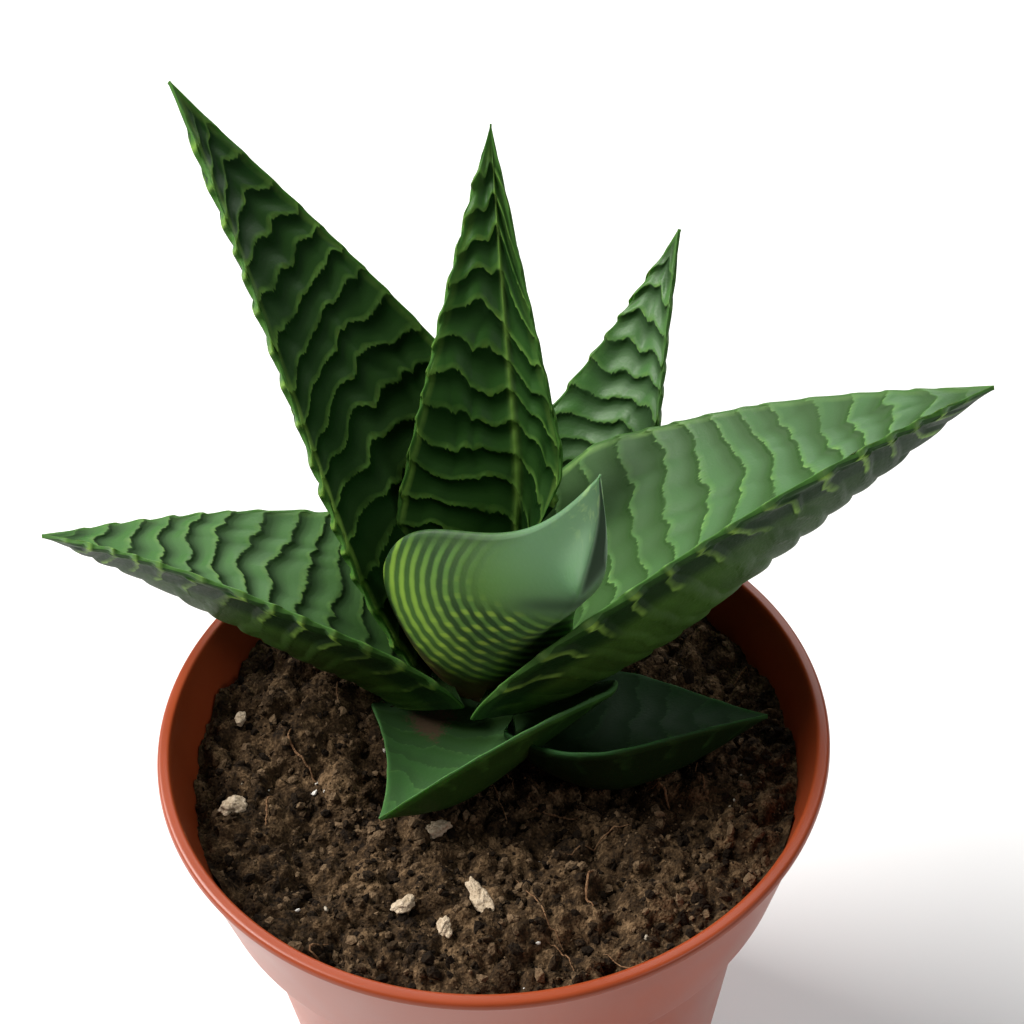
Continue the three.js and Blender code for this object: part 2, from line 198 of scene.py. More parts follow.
def ramp(tree, value, stops):
    """Colours or greys along a value: each stop is a place from 0 to 1 and a colour."""
    new = add_node(tree, "ShaderNodeValToRGB", {0: value})
    colours = new.color_ramp
    while len(colours.elements) < len(stops):
        colours.elements.new(0.5)
    for element, (place, colour) in zip(colours.elements, stops):
        element.position = place
        element.color = painted(colour)
    return new.outputs["Color"]


def mix(tree, share, first, second):
    """One colour laid over another by a share from 0 to 1."""
    sockets = {0: share, 6: painted(first), 7: painted(second)}
    return add_node(tree, "ShaderNodeMix", sockets, data_type="RGBA").outputs[2]


def maths(tree, operation, *values):
    """One arithmetic step on values or sockets."""
    return add_node(tree, "ShaderNodeMath", dict(enumerate(values)), operation=operation).outputs[0]


def times(tree, first, *others):
    """The product of several values or sockets."""
    for value in others:
        first = maths(tree, "MULTIPLY", first, value)
    return first


def dress(tree, shader, colour, rough=None, **bump):
    """Joins a colour, a roughness that varies and a bump with these sockets to the material's shader."""
    tree.links.new(colour, shader.inputs["Base Color"])
    if rough is not None:
        tree.links.new(rough, shader.inputs["Roughness"])
    tree.links.new(add_node(tree, "ShaderNodeBump", bump).outputs[0], shader.inputs["Normal"])


def start_group(name, given, shown):
    """A node group with number sockets of these names going in and coming out, and nothing between."""
    group = bpy.data.node_groups.new(name, "ShaderNodeTree")
    for way, sockets in (("INPUT", given), ("OUTPUT", shown)):
        for socket in sockets:
            group.interface.new_socket(socket, in_out=way, socket_type="NodeSocketFloat")
    return group, group.nodes.new("NodeGroupInput").outputs, group.nodes.new("NodeGroupOutput").inputs


def build_grain():
    """Grain that several finishes share: coarse and fine noise in object space, as tones and a height."""
    group, given, shown = start_group("grain", ["Coarse Scale", "Fine Scale"], ["Coarse", "Fine", "Height"])
    place = add_node(group, "ShaderNodeTexCoord").outputs["Object"]
    tones = []
    for name, detail in (("Coarse", 3.0), ("Fine", 5.0)):
        sockets = {"Vector": place, "Scale": given[name + " Scale"], "Detail": detail}
        tones.append(add_node(group, "ShaderNodeTexNoise", sockets).outputs["Fac"])
        group.links.new(tones[-1], shown[name])
    height = maths(group, "MULTIPLY_ADD", tones[0], 0.6, times(group, tones[1], 0.4))
    group.links.new(height, shown["Height"])
    return group


grain_group = build_grain()


def grain(tree, coarse_scale, fine_scale):
    """The shared grain at this material's own scales, in features a metre."""
    scales = {"Coarse Scale": coarse_scale, "Fine Scale": fine_scale}
    return add_node(tree, "ShaderNodeGroup", scales, node_tree=grain_group).outputs


def drill_drains(pot):
    """A ring of cylinders is cut from the pot's floor with a Boolean, and the result is its new mesh."""
    angle = np.arange(DRAIN_HOLES) / DRAIN_HOLES * 2 * np.pi
    drills = bmesh.new()
    for x, y in zip(DRAIN_RING_RADIUS * np.cos(angle), DRAIN_RING_RADIUS * np.sin(angle)):
        bmesh.ops.create_cone(
            drills, cap_ends=True, segments=32, radius1=DRAIN_RADIUS * MM, radius2=DRAIN_RADIUS * MM,
            depth=DRILL_LENGTH * MM, matrix=Matrix.Translation((x * MM, y * MM, DRILL_MIDDLE * MM)))
    cutter_mesh = bpy.data.meshes.new("drills")
    drills.to_mesh(cutter_mesh)
    drills.free()
    cutter = add_object("drills", cutter_mesh)
    cut = pot.modifiers.new("drains", "BOOLEAN")
    cut.operation = "DIFFERENCE"
    cut.object = cutter
    drilled = bpy.data.meshes.new_from_object(pot.evaluated_get(bpy.context.evaluated_depsgraph_get()))
    pot.modifiers.clear()
    pot.data = drilled
    bpy.data.objects.remove(cutter)


pot_plastic, tree, shader = start_material(
    "terracotta plastic", IOR=1.5, Specular_IOR_Level=0.4, Subsurface_Weight=0.08,
    Subsurface_Radius=(0.004, 0.001, 0.0005))
plastic_grain = grain(tree, 60.0, 2600.0)
pot_colour = ramp(tree, plastic_grain["Coarse"], [(0.35, (0.32, 0.053, 0.014)), (0.65, (0.36, 0.062, 0.018))])
pot_roughness = ramp(tree, plastic_grain["Coarse"], [(0.3, 0.3), (0.7, 0.37)])
dress(tree, shader, pot_colour, pot_roughness, Height=plastic_grain["Fine"], Strength=0.06, Distance=0.0001)

pot_profile = rounded_profile(POT_OUTSIDE + POT_INSIDE)
pot_points, pot_faces = turned_grid(pot_profile, POT_SECTORS)
pot = place_piece("pot_shell", mesh_from("pot_shell", pot_points, pot_faces), pot_plastic, ["pot"])
drill_drains(pot)


# The soil: moist peat and bark mix, filled in loose and settled, so that its top is lumpy and crumbly.
# It is highest at the back left, where it was heaped, and has a hollow in front of the plant.

SOIL_LEVEL = 71.5
SOIL_RADIUS = 41.3
SOIL_SIDE = 250
SOIL_MOUNDS = [
    # x, y, height, spread
    (-25, 9, 3.2, 8), (-30, 22, 1.4, 9), (17, 26, 2.2, 12), (-24, -14, -3.0, 8),
    (12, -6, -3.6, 15), (6, 14, -2.4, 14), (-9, 2, -3.2, 9), (-6, -30, 1.0, 9), (34, -8, 0.8, 8),
]
# pitch, seed, height and share of the crumbs' tone, from clods down to dust
SOIL_LUMPS = [(6.5, 11, 2.8, 0.2), (3.1, 23, 1.6, 0.3), (1.5, 37, 0.8, 0.3), (0.8, 51, 0.45, 0.2)]
LUMPS_SUNK = 1.9
# where the low right leaf presses the soil down
LEAF_DENT_PLACE = (19, 6)
LEAF_DENT_REACH = (14, 8)
LEAF_DENT_DEPTH = 2.6
# radius and height of the rings under the rim
SOIL_WALL = [(40.3, 68.0), (39.2, 62.3), (35.8, 61.0), (29.6, 4.0), (0.0, 4.0)]


def scattered(cell_x, cell_y, seed):
    """A repeatable number from 0 to 1 for each cell: the fraction of a large sine of the cell's place."""
    value = np.sin(cell_x * 127.1 + cell_y * 311.7 + seed * 74.7) * 43758.5453
    return value - np.floor(value)


def soft_noise(x, y, seed):
    """Smooth noise from 0 to 1: the random values of the nearest four cell corners, eased together."""
    cell_x = np.floor(x)
    cell_y = np.floor(y)
    tx = (x - cell_x) ** 2 * (3 - 2 * (x - cell_x))
    ty = (y - cell_y) ** 2 * (3 - 2 * (y - cell_y))
    low = scattered(cell_x, cell_y, seed) * (1 - tx) + scattered(cell_x + 1, cell_y, seed) * tx
    high = scattered(cell_x, cell_y + 1, seed) * (1 - tx) + scattered(cell_x + 1, cell_y + 1, seed) * tx
    return low * (1 - ty) + high * ty


def lumps(x, y, pitch, seed):
    """Round lumps, one of random place and size in each square of the pitch; of nine neighbours the highest
    shows. Gives the height as a share of the pitch, and a random tone that each lump keeps all over."""
    cell_x = np.floor(x / pitch)
    cell_y = np.floor(y / pitch)
    best = np.zeros_like(x)
    tone = np.full_like(x, 0.5)
    for step_x in (-1, 0, 1):
        for step_y in (-1, 0, 1):
            cx = cell_x + step_x
            cy = cell_y + step_y
            middle_x = (cx + 0.1 + 0.8 * scattered(cx, cy, seed)) * pitch
            middle_y = (cy + 0.1 + 0.8 * scattered(cx, cy, seed + 1)) * pitch
            radius = pitch * (0.35 + 0.4 * scattered(cx, cy, seed + 2))
            away = ((x - middle_x) ** 2 + (y - middle_y) ** 2) / radius ** 2
            dome = np.sqrt(np.clip(1 - away, 0, 1)) * radius / pitch
            higher = dome > best
            best = np.where(higher, dome, best)
            tone = np.where(higher, scattered(cx, cy, seed + 3), tone)
    return best, tone


def soil_form(x, y):
    """The settled level with its mounds and hollow, and two slow waves over it."""
    z = np.full_like(x, SOIL_LEVEL)
    for mound_x, mound_y, rise, spread in SOIL_MOUNDS:
        z += rise * np.exp(-((x - mound_x) ** 2 + (y - mound_y) ** 2) / spread ** 2)
    z += 0.55 * np.sin(0.42 * x + 0.9) * np.sin(0.37 * y + 0.4)
    return z + 0.4 * np.sin(0.95 * x + 0.31 * y) * np.cos(0.27 * x - 0.88 * y + 1.1)


def soil_surface(x, y):
    """The form with lumps of falling size on it, bent out of round, and the low right leaf's dent. Gives
    the height and a tone for the crumbs."""
    bent_x = x + 1.3 * (soft_noise(x / 2.1, y / 2.1, 5) - 0.5)
    bent_y = y + 1.3 * (soft_noise(x / 2.1, y / 2.1, 9) - 0.5)
    off_x = (x - LEAF_DENT_PLACE[0]) / LEAF_DENT_REACH[0]
    off_y = (y - LEAF_DENT_PLACE[1]) / LEAF_DENT_REACH[1]
    z = soil_form(x, y) - LUMPS_SUNK - LEAF_DENT_DEPTH * np.exp(-off_x ** 2 - off_y ** 2)
    tone = np.zeros_like(z)
    for pitch, seed, height, share in SOIL_LUMPS:
        lump, lump_tone = lumps(bent_x, bent_y, pitch, seed)
        z += height * lump
        tone += share * lump_tone
    return z + 0.35 * (soft_noise(x / 0.9, y / 0.9, 61) - 0.5), tone


def soil_grid():
    """A square grid bent into a disc, x = a sqrt(1 - b b / 2) and y = b sqrt(1 - a a / 2), carries the
    surface; its rim goes down the pot's wall in rings and closes at the floor."""
    side = np.linspace(-1, 1, SOIL_SIDE)
    a, b = np.meshgrid(side, side, indexing="ij")
    x = SOIL_RADIUS * a * np.sqrt(1 - b ** 2 / 2)
    y = SOIL_RADIUS * b * np.sqrt(1 - a ** 2 / 2)
    z, tone = soil_surface(x, y)
    top = np.stack([x, y, z], axis=-1).reshape(-1, 3)
    index = np.arange(SOIL_SIDE ** 2).reshape(SOIL_SIDE, SOIL_SIDE)
    rim = np.concatenate([index[0, :-1], index[:-1, -1], index[-1, :0:-1], index[:0:-1, 0]])
    angle = np.arctan2(top[rim, 1], top[rim, 0])
    points = [top]
    for radius, height in SOIL_WALL:
        wall_z = np.full_like(angle, height)
        points.append(np.stack([radius * np.cos(angle), radius * np.sin(angle), wall_z], axis=-1))
    points = np.concatenate(points)
    count = len(rim)
    rings = [rim] + [SOIL_SIDE ** 2 + k * count + np.arange(count) for k in range(len(SOIL_WALL))]
    faces = [grid_faces(SOIL_SIDE, SOIL_SIDE, wrapped=False)]
    for upper, lower in zip(rings, rings[1:]):
        faces.append(np.stack([upper, np.roll(upper, -1), np.roll(lower, -1), lower], axis=-1))
    tones = np.concatenate([tone.ravel(), np.full(len(points) - len(top), 0.5)])
    return points, np.concatenate(faces), tones


def soil_material(name, dark, light, pale):
    """Soil, grit, bark or root: each bit has its own tone from dark to pale, with fine grain all over."""
    material, tree, shader = start_material(name, Roughness=0.95, IOR=1.4, Specular_IOR_Level=0.25)
    soil_grain = grain(tree, 700.0, 2600.0)
    tone = add_node(tree, "ShaderNodeAttribute", attribute_name="tone").outputs["Fac"]
    grains = mix(tree, 0.35, soil_grain["Fine"], soil_grain["Coarse"])
    blend = maths(tree, "ADD", times(tree, tone, 0.45), times(tree, grains, 0.75))
    colour = ramp(tree, blend, [(0.44, dark), (0.62, light), (0.8, pale)])
    dress(tree, shader, colour, Height=soil_grain["Height"], Strength=1.0, Distance=0.0011)
    return material


soil_finish = soil_material("moist soil", (0.009, 0.0052, 0.0025), (0.06, 0.035, 0.016), (0.23, 0.145, 0.075))
soil_points, soil_faces, soil_tones = soil_grid()
soil_mesh = mesh_from("soil_bed", soil_points, soil_faces, {"tone": soil_tones})
place_piece("soil_bed", soil_mesh, soil_finish, ["soil"])


# Loose crumbs: broken bits of the same mix that lie on the soil in every size, with pale sand and bark among
# them, and a few hair roots. Nothing fixes them but their own weight.

BALL_CORNERS = 12
CRUMB_COUNT = 5200
CRUMB_REACH = 40.4
PALE_COUNT = 42
PALE_REACH = 39.5
ROOT_COUNT = 26
ROOT_STEPS = 14
ROOT_SIDES = 5
# how far out a root may start and run
ROOT_START = 36.0
ROOT_REACH = 39.0


def ball_mesh():
    """The twelve corners and twenty faces of an icosahedron, from the golden ratio."""
    golden = (1 + 5 ** 0.5) / 2
    corners = []
    for a in (-1, 1):
        for b in (-golden, golden):
            corners += [(0, a, b), (a, b, 0), (b, 0, a)]
    corners = np.array(corners, dtype=float) / np.hypot(1, golden)
    apart = np.linalg.norm(corners[:, None] - corners[None], axis=-1)
    near = (apart > 0.1) & (apart < 1.2)
    i, j, k = np.meshgrid(*[np.arange(BALL_CORNERS)] * 3, indexing="ij")
    inside = near[i, j] & near[j, k] & near[i, k] & (i < j) & (i < k)
    faces = np.stack([i[inside], j[inside], k[inside]], axis=-1)
    first, second, third = (corners[faces[:, side]] for side in range(3))
    outward = np.einsum("ij,ij->i", np.cross(second - first, third - first), first) > 0
    return corners, faces[outward]


def scatter_bits(random, x, y, size, flatness, sink):
    """One dented icosahedron at each place: stretched by its own sizes, turned at random and part sunk."""
    corners, faces = ball_mesh()
    count = len(x)
    stretch = size[:, None] / 2 * np.stack([np.ones(count), random.uniform(0.5, 1, count), flatness], axis=-1)
    dents = random.uniform(0.72, 1.25, (count, BALL_CORNERS, 1))
    tilt = random.normal(0, 0.35, (count, 2))
    spin = random.uniform(0, 2 * np.pi, count)
    local = corners[None] * dents * stretch[:, None]
    turned_x = local[..., 0] * np.cos(spin)[:, None] - local[..., 1] * np.sin(spin)[:, None]
    turned_y = local[..., 0] * np.sin(spin)[:, None] + local[..., 1] * np.cos(spin)[:, None]
    raised = local[..., 2] + turned_x * tilt[:, :1] + turned_y * tilt[:, 1:]
    z = soil_surface(x, y)[0] + sink * size
    points = np.stack([x[:, None] + turned_x, y[:, None] + turned_y, z[:, None] + raised], axis=-1)
    all_faces = faces[None] + BALL_CORNERS * np.arange(count)[:, None, None]
    return points.reshape(-1, 3), all_faces.reshape(-1, 3)


def soil_places(random, count, reach):
    """Even random places on the disc: the radius is the root of a random share of the area."""
    radius = reach * np.sqrt(random.uniform(0, 1, count))
    angle = random.uniform(0, 2 * np.pi, count)
    return radius * np.cos(angle), radius * np.sin(angle)


random = np.random.default_rng(7)
crumb_x, crumb_y = soil_places(random, CRUMB_COUNT, CRUMB_REACH)
crumb_size = 0.35 + 1.7 * random.uniform(0, 1, CRUMB_COUNT) ** 4
crumb_flat = random.uniform(0.5, 0.95, CRUMB_COUNT)
crumb_points, crumb_faces = scatter_bits(random, crumb_x, crumb_y, crumb_size, crumb_flat, 0.12)
crumb_tones = np.repeat(random.uniform(0, 1, CRUMB_COUNT) ** 1.2, BALL_CORNERS)
crumb_finish = soil_material(
    "loose crumbs", (0.011, 0.0064, 0.003), (0.055, 0.033, 0.016), (0.19, 0.125, 0.07))
crumb_mesh = mesh_from("soil_crumbs", crumb_points, crumb_faces, {"tone": crumb_tones})
crumb_mesh.polygons.foreach_set("use_smooth", np.zeros(len(crumb_mesh.polygons), dtype=bool))
place_piece("soil_crumbs", crumb_mesh, crumb_finish)

pale_x, pale_y = soil_places(random, PALE_COUNT, PALE_REACH)
pale_size = 0.35 + 0.9 * random.uniform(0, 1, PALE_COUNT) ** 2
pale_points, pale_faces = scatter_bits(random, pale_x, pale_y, pale_size, np.full(PALE_COUNT, 0.7), 0.2)
pale_finish = soil_material("pale grit", (0.4, 0.33, 0.24), (0.66, 0.6, 0.5), (0.85, 0.83, 0.78))
pale_tones = np.repeat(random.uniform(0, 1, PALE_COUNT), BALL_CORNERS)
pale_mesh = mesh_from("soil_grit", pale_points, pale_faces, {"tone": pale_tones})
place_piece("soil_grit", pale_mesh, pale_finish)


def hair_roots(random, count):
    """Thin tubes that wander over the soil: a few sides round a path whose heading drifts like a random
    walk, drawn in towards the middle where it would meet the pot."""
    x, y = soil_places(random, count, ROOT_START)
    start = random.uniform(0, 2 * np.pi, (count, 1))
    heading = start + np.cumsum(random.normal(0, 0.28, (count, ROOT_STEPS)), axis=1)
    stride = random.uniform(0.35, 1.0, (count, 1))
    path_x = x[:, None] + np.cumsum(stride * np.cos(heading), axis=1)
    path_y = y[:, None] + np.cumsum(stride * np.sin(heading), axis=1)
    drawn_in = np.minimum(1, ROOT_REACH / np.hypot(path_x, path_y))
    path_x, path_y = path_x * drawn_in, path_y * drawn_in
    path_z = soil_surface(path_x, path_y)[0] + 0.25 + 0.5 * np.sin(np.linspace(0, np.pi, ROOT_STEPS))
    angle = np.arange(ROOT_SIDES) / ROOT_SIDES * 2 * np.pi
    taper = np.sin(np.linspace(0.15, np.pi - 0.15, ROOT_STEPS)) ** 0.4
    girth = random.uniform(0.1, 0.2, (count, 1)) * taper
    across = girth[..., None] * np.cos(angle)
    points = np.stack([
        path_x[..., None] - np.sin(heading)[..., None] * across,
        path_y[..., None] + np.cos(heading)[..., None] * across,
        path_z[..., None] + girth[..., None] * np.sin(angle)], axis=-1)
    tube = grid_faces(ROOT_STEPS, ROOT_SIDES, wrapped=True)
    faces = tube[None] + ROOT_STEPS * ROOT_SIDES * np.arange(count)[:, None, None]
    return points.reshape(-1, 3), faces.reshape(-1, 4)


root_points, root_faces = hair_roots(random, ROOT_COUNT)
root_finish = soil_material("hair roots", (0.1, 0.045, 0.02), (0.22, 0.12, 0.06), (0.4, 0.26, 0.14))
root_mesh = mesh_from("soil_roots", root_points, root_faces, {"tone": np.full(len(root_points), 0.5)})
place_piece("soil_roots", root_mesh, root_finish)


# The chips: six larger flakes of bark and grit, dry and pale, that lie half sunk in the soil.
# Each is a rounded flake with dented faces and a torn grain along its length.

CHIPS = [
    # node, x, y, length, width, height, turn in degrees
    ("chip_front", -3.0, -24.5, 6.4, 2.4, 1.6, 115),
    ("chip_front_small", -7.5, -29.0, 3.2, 1.9, 1.3, 100),
    ("chip_left_front", -12.5, -24.5, 3.4, 2.2, 1.4, 40),
    ("chip_left", -35.5, -7.0, 4.0, 3.0, 1.8, 30),
    ("chip_under_leaf", -8.5, -12.0, 4.2, 2.4, 1.6, 10),
    ("chip_left_back", -35.5, 8.0, 2.4, 1.6, 1.2, 70),
]
CHIP_RINGS = 22
CHIP_SECTORS = 36
CHIP_LIFT = 0.9


def chip_points(index, x, y, length, width, height, turn_degrees):
    """A ball of latitude and longitude, dented by slow and quick waves, stretched to its sizes and
    turned."""
    around = np.arange(CHIP_SECTORS) / CHIP_SECTORS * 2 * np.pi
    latitude, longitude = np.meshgrid(np.linspace(0, np.pi, CHIP_RINGS), around, indexing="ij")
    ball = [np.sin(latitude) * np.cos(longitude), np.sin(latitude) * np.sin(longitude), np.cos(latitude)]
    dent = 1 + 0.16 * np.sin(3.3 * ball[0] + 2 * index) * np.cos(2.9 * ball[1] - index)
    dent += 0.1 * np.sin(5 * ball[2] + index) + 0.07 * np.sin(11 * ball[0] + 7 * ball[1] + index)
    dent -= 0.12 * np.abs(np.sin(2.3 * ball[0] - 3.1 * ball[1] + 1.9 * index))
    local_x = ball[0] * dent * length / 2
    local_y = ball[1] * dent * width / 2
    angle = np.radians(turn_degrees)
    middle_z = soil_form(np.array(float(x)), np.array(float(y))) + CHIP_LIFT
    return np.stack([
        x + local_x * np.cos(angle) - local_y * np.sin(angle),
        y + local_x * np.sin(angle) + local_y * np.cos(angle),
        middle_z + ball[2] * dent * height / 2], axis=-1).reshape(-1, 3)


chip_finish = soil_material("dry bark chip", (0.34, 0.25, 0.16), (0.6, 0.48, 0.34), (0.78, 0.68, 0.54))
chip_faces = grid_faces(CHIP_RINGS, CHIP_SECTORS, wrapped=True)
for index, (node, *sizes) in enumerate(CHIPS):
    points = chip_points(index, *sizes)
    mesh = mesh_from(node + "_flake", points, chip_faces, {"tone": np.full(len(points), 0.45)})
    place_piece(node + "_flake", mesh, chip_finish, [node])


# The stem: the short woody stalk under the rosette, wrapped in the dry brown bases of old leaves.
# It grows out of the soil and the leaves grow out of it.

STEM_PLACE = (1.0, 13.0)
STEM_SECTORS = 64
STEM_PROFILE = [
    # radius, height, fillet radius
    (0.0, 46.0, 0.0), (2.6, 46.0, 0.8), (3.6, 60.0, 2.0), (4.6, 70.0, 2.0), (5.0, 75.0, 1.5),
    (3.6, 78.5, 1.0), (0.0, 78.5, 0.0),
]

stem_profile = rounded_profile(STEM_PROFILE, steps=8)
stem_points, stem_faces = turned_grid(stem_profile, STEM_SECTORS)
stem_angle = np.arctan2(stem_points[:, 1], stem_points[:, 0])
stem_scale = 1 + 0.05 * np.sin(7 * stem_angle + 0.4 * stem_points[:, 2]) * np.sin(1.1 * stem_points[:, 2])
stem_points[:, 0] = stem_points[:, 0] * stem_scale + STEM_PLACE[0]
stem_points[:, 1] = stem_points[:, 1] * stem_scale + STEM_PLACE[1]

stem_finish, tree, shader = start_material("dry stem", Roughness=0.8, IOR=1.4)
stem_grain = grain(tree, 500.0, 2500.0)
stem_colour = ramp(tree, stem_grain["Coarse"], [(0.35, (0.05, 0.022, 0.012)), (0.65, (0.2, 0.1, 0.055))])
dress(tree, shader, stem_colour, Height=stem_grain["Height"], Strength=0.7, Distance=0.0005)
place_piece("stem_stalk", mesh_from("stem_stalk", stem_points, stem_faces), stem_finish, ["stem"])


# The leaves: stiff fleshy blades of waxy green skin, hollow above and rounded or keeled below.
# Each grows from the stem, and wavy raised ridges with paler crests cross both its faces.

LEAF_DEFAULTS = {
    "sag": 0, "sweep_power": 1, "bend_power": 1, "fold": 0, "fold_power": 2, "slant": (0, 0), "vee": 0,
    "ridge_power": 1,
    # the share of the relief that the upper face has
    "step": 1,
    # side, amount, place along the leaf and reach along it
    "flare": (1, 0, 0.3, 0.1),
    # height, place and reach
    "nose": (0, 0.8, 0.06),
    # how strongly a pale line shows inside the margin at u = -1 and at u = 1
    "rim": (0.25, 0.25),
    # the share of the relief that each margin keeps
    "knobs": (0.5, 0.5),
    # height, place across and width of a raised lengthwise rib
    "rib": (0, 0, 0.05),
    # how much litter lies near the base
    "litter": 0,
}
RIDGED_LEAVES = {
    "leaf_long_right": {
        "root": (-1.5, 14.5, 80), "azimuth": -2, "sweep": 8, "rise": (73, 3.5), "bend_power": 0.56,
        "length": 81.5, "width": 40, "peak": 0.3, "base": 0.8, "taper": 1.65, "cup": (0.39, 0.42),
        "thick": (0.44, 0.44), "roll": (-5, -22), "keel": (-0.25, -0.25), "fold": -0.3, "fold_power": 1.7,
        "flare": (1, 3, 0.31, 0.11), "rim": (0.0, 1.0), "knobs": (0.9, 0.3),
        "step": 0.6, "ridges": 15, "ridge_power": 1.3, "relief": 0.5,
        "slant": (-0.5, -0.4), "bow": (-0.5, -0.5), "seed": 2,
    },
    "leaf_spread_left": {
        "root": (-3, 16.5, 79.5), "azimuth": 175, "sweep": -3, "rise": (61, -6), "bend_power": 0.5,
        "length": 63, "width": 30.5, "peak": 0.28, "base": 1.0, "taper": 1.65, "cup": (0.48, 0.35),
        "thick": (0.45, 0.42), "roll": (4, 27), "keel": (0.22, 0.22), "fold": 0.3, "fold_power": 1.7,
        "rim": (0.25, 0.0), "knobs": (0.5, 0.9),
        "step": 0.7, "ridges": 14, "ridge_power": 1.1, "relief": 0.45,
        "slant": (0.6, 0.4), "bow": (-0.6, -0.6), "seed": 3,
    },
    "leaf_upright_middle": {
        "root": (0, 17, 76), "azimuth": 82.5, "sweep": -2, "rise": (76, 58.5),
        "length": 73.5, "width": 25, "peak": 0.28, "base": 0.85, "taper": 1.05, "cup": (0.34, 0.34),
        "thick": (0.25, 0.25), "roll": (0, 0), "keel": (0, 0), "fold": -0.36, "fold_power": 1.3,
        "flare": (-1, -5.5, 0.24, 0.09), "rim": (0.3, 0.7), "knobs": (0.35, 0.8), "rib": (0.5, -0.36, 0.045),
        "ridges": 16, "relief": 0.5, "slant": (-1.4, 0.5), "bow": (0.8, -0.7), "vee": 2.2, "seed": 4,
    },
    "leaf_tall_left": {
        "root": (4, 15.5, 75.5), "azimuth": 135.5, "sweep": -2, "rise": (66, 38.5), "bend_power": 0.6,
        "length": 93.5, "width": 33, "peak": 0.23, "base": 0.82, "taper": 1.35, "cup": (0.3, 0.3),
        "thick": (0.25, 0.25), "roll": (-17, 18), "keel": (0, 0), "rim": (0.7, 1.0), "knobs": (0.15, 1.0),
        "ridges": 20, "relief": 0.5, "slant": (1.0, 0.7), "bow": (-0.4, -0.4), "seed": 5,
    },
    "leaf_small_back": {
        "root": (2.6, 20.7, 70.2), "azimuth": 49.5, "sweep": -3, "rise": (44.5, 58),
        "length": 66.9, "width": 25.7, "peak": 0.38, "base": 0.8, "taper": 1.02, "cup": (0.25, 0.25),
        "thick": (0.3, 0.3), "roll": (10, -14), "keel": (0, 0),
        "knobs": (0.5, 0.6), "ridges": 16, "relief": 0.4, "bow": (-0.4, -0.4), "seed": 6,
    },
}
MARGIN_THICKNESS = (1.2, 0.6)
# points round a blade, and the way from one row of them to the next
AROUND = 160
RIDGED_ROW = 0.22
SPINE_STEPS = 240
# where in the ridge count a crest lies
CREST_PHASE = 0.58
# where the slope from a crest ends above, and where the notch lies below, as shares of a ridge
RIDGE_FOOT = 0.7
RIDGE_NOTCH = 0.28


def between(pair, s):
    """A value that goes evenly from the first of a pair at the base to the second at the tip."""
    return pair[0] + (pair[1] - pair[0]) * s


def eased(low, high, value):
    """0 below low, 1 above high and a smooth cubic between."""
    t = np.clip((value - low) / (high - low), 0, 1)
    return t * t * (3 - 2 * t)


def leaf_spine(leaf, s):
    """The spine starts at the root and is walked in short steps, turning by azimuth and rise. Gives at each
    s its place, the sideways direction and the upper face's normal, turned round the spine by the roll."""
    def heading(t):
        rise = between(leaf["rise"], t ** leaf["bend_power"]) - leaf["sag"] * np.sin(np.pi * t)
        azimuth = leaf["azimuth"] + leaf["sweep"] * t ** leaf["sweep_power"]
        return np.radians(rise), np.radians(azimuth)

    def forward(t):
        rise, azimuth = heading(t)
        level = np.cos(rise)
        return np.stack([level * np.cos(azimuth), level * np.sin(azimuth), np.sin(rise)], axis=-1)

    knots = np.linspace(0, 1, SPINE_STEPS + 1)
    walked = np.cumsum(forward((knots[:-1] + knots[1:]) / 2), axis=0) * leaf["length"] / SPINE_STEPS
    places = np.concatenate([[np.zeros(3)], walked]) + np.array(leaf["root"])
    place = np.stack([np.interp(s, knots, places[:, axis]) for axis in range(3)], axis=-1)
    azimuth = heading(s)[1]
    flat = np.stack([-np.sin(azimuth), np.cos(azimuth), np.zeros_like(s)], axis=-1)
    upright = np.cross(forward(s), flat)
    roll = np.radians(between(leaf["roll"], s))[:, None]
    side = flat * np.cos(roll) + upright * np.sin(roll)
    normal = upright * np.cos(roll) - flat * np.sin(roll)
    return place, side, normal


def leaf_half_width(leaf, s):
    """Half the width swells from the base to its peak as a parabola, then narrows by the taper's power."""
    low = 1 - (1 - leaf["base"]) * np.clip((leaf["peak"] - s) / leaf["peak"], 0, 1) ** 2
    high = 1 - np.clip((s - leaf["peak"]) / (1 - leaf["peak"]), 0, 1) ** leaf["taper"]
    return np.maximum(leaf["width"] / 2 * low * high, 0.12)


def ridge_phase(leaf, s, u, half, face):
    """How many ridges lie between the base and this point: even along the leaf, slanted and bowed across
    it, steeper beyond a sharp fold, and wandering slowly; small arches with cusps to the base scallop each
    crest."""
    along = leaf["ridges"] * s ** leaf["ridge_power"]
    seed = leaf["seed"]
    bent = between(leaf["slant"], s) * u + between(leaf["bow"], s) * (1 - u * u)
    bent = bent + leaf["vee"] * np.clip(leaf["fold"] - u, 0, None)
    wander = 0.2 * np.sin(3.1 * u + 0.9 * along + 1.7 * seed + 2.1 * face)
    wave = 0.1 * np.sin(7.7 * u - 1.3 * along + 2.9 * seed + 1.3 * face)
    across = u * half
    drift = soft_noise(across / 2.6 + 7 * face, along * 0.7 + 3 * seed, 71) - 0.5
    sway = 4 * soft_noise(across / 5 + 5 * face, along * 0.45 + seed, 43)
    size = 0.06 + 0.2 * soft_noise(across / 7 + 3 * face, along * 0.8 + seed, 29)
    arches = size * (1 - np.abs(np.sin(across * 0.62 + sway)))
    return along + bent + wander + wave + 0.2 * drift + arches


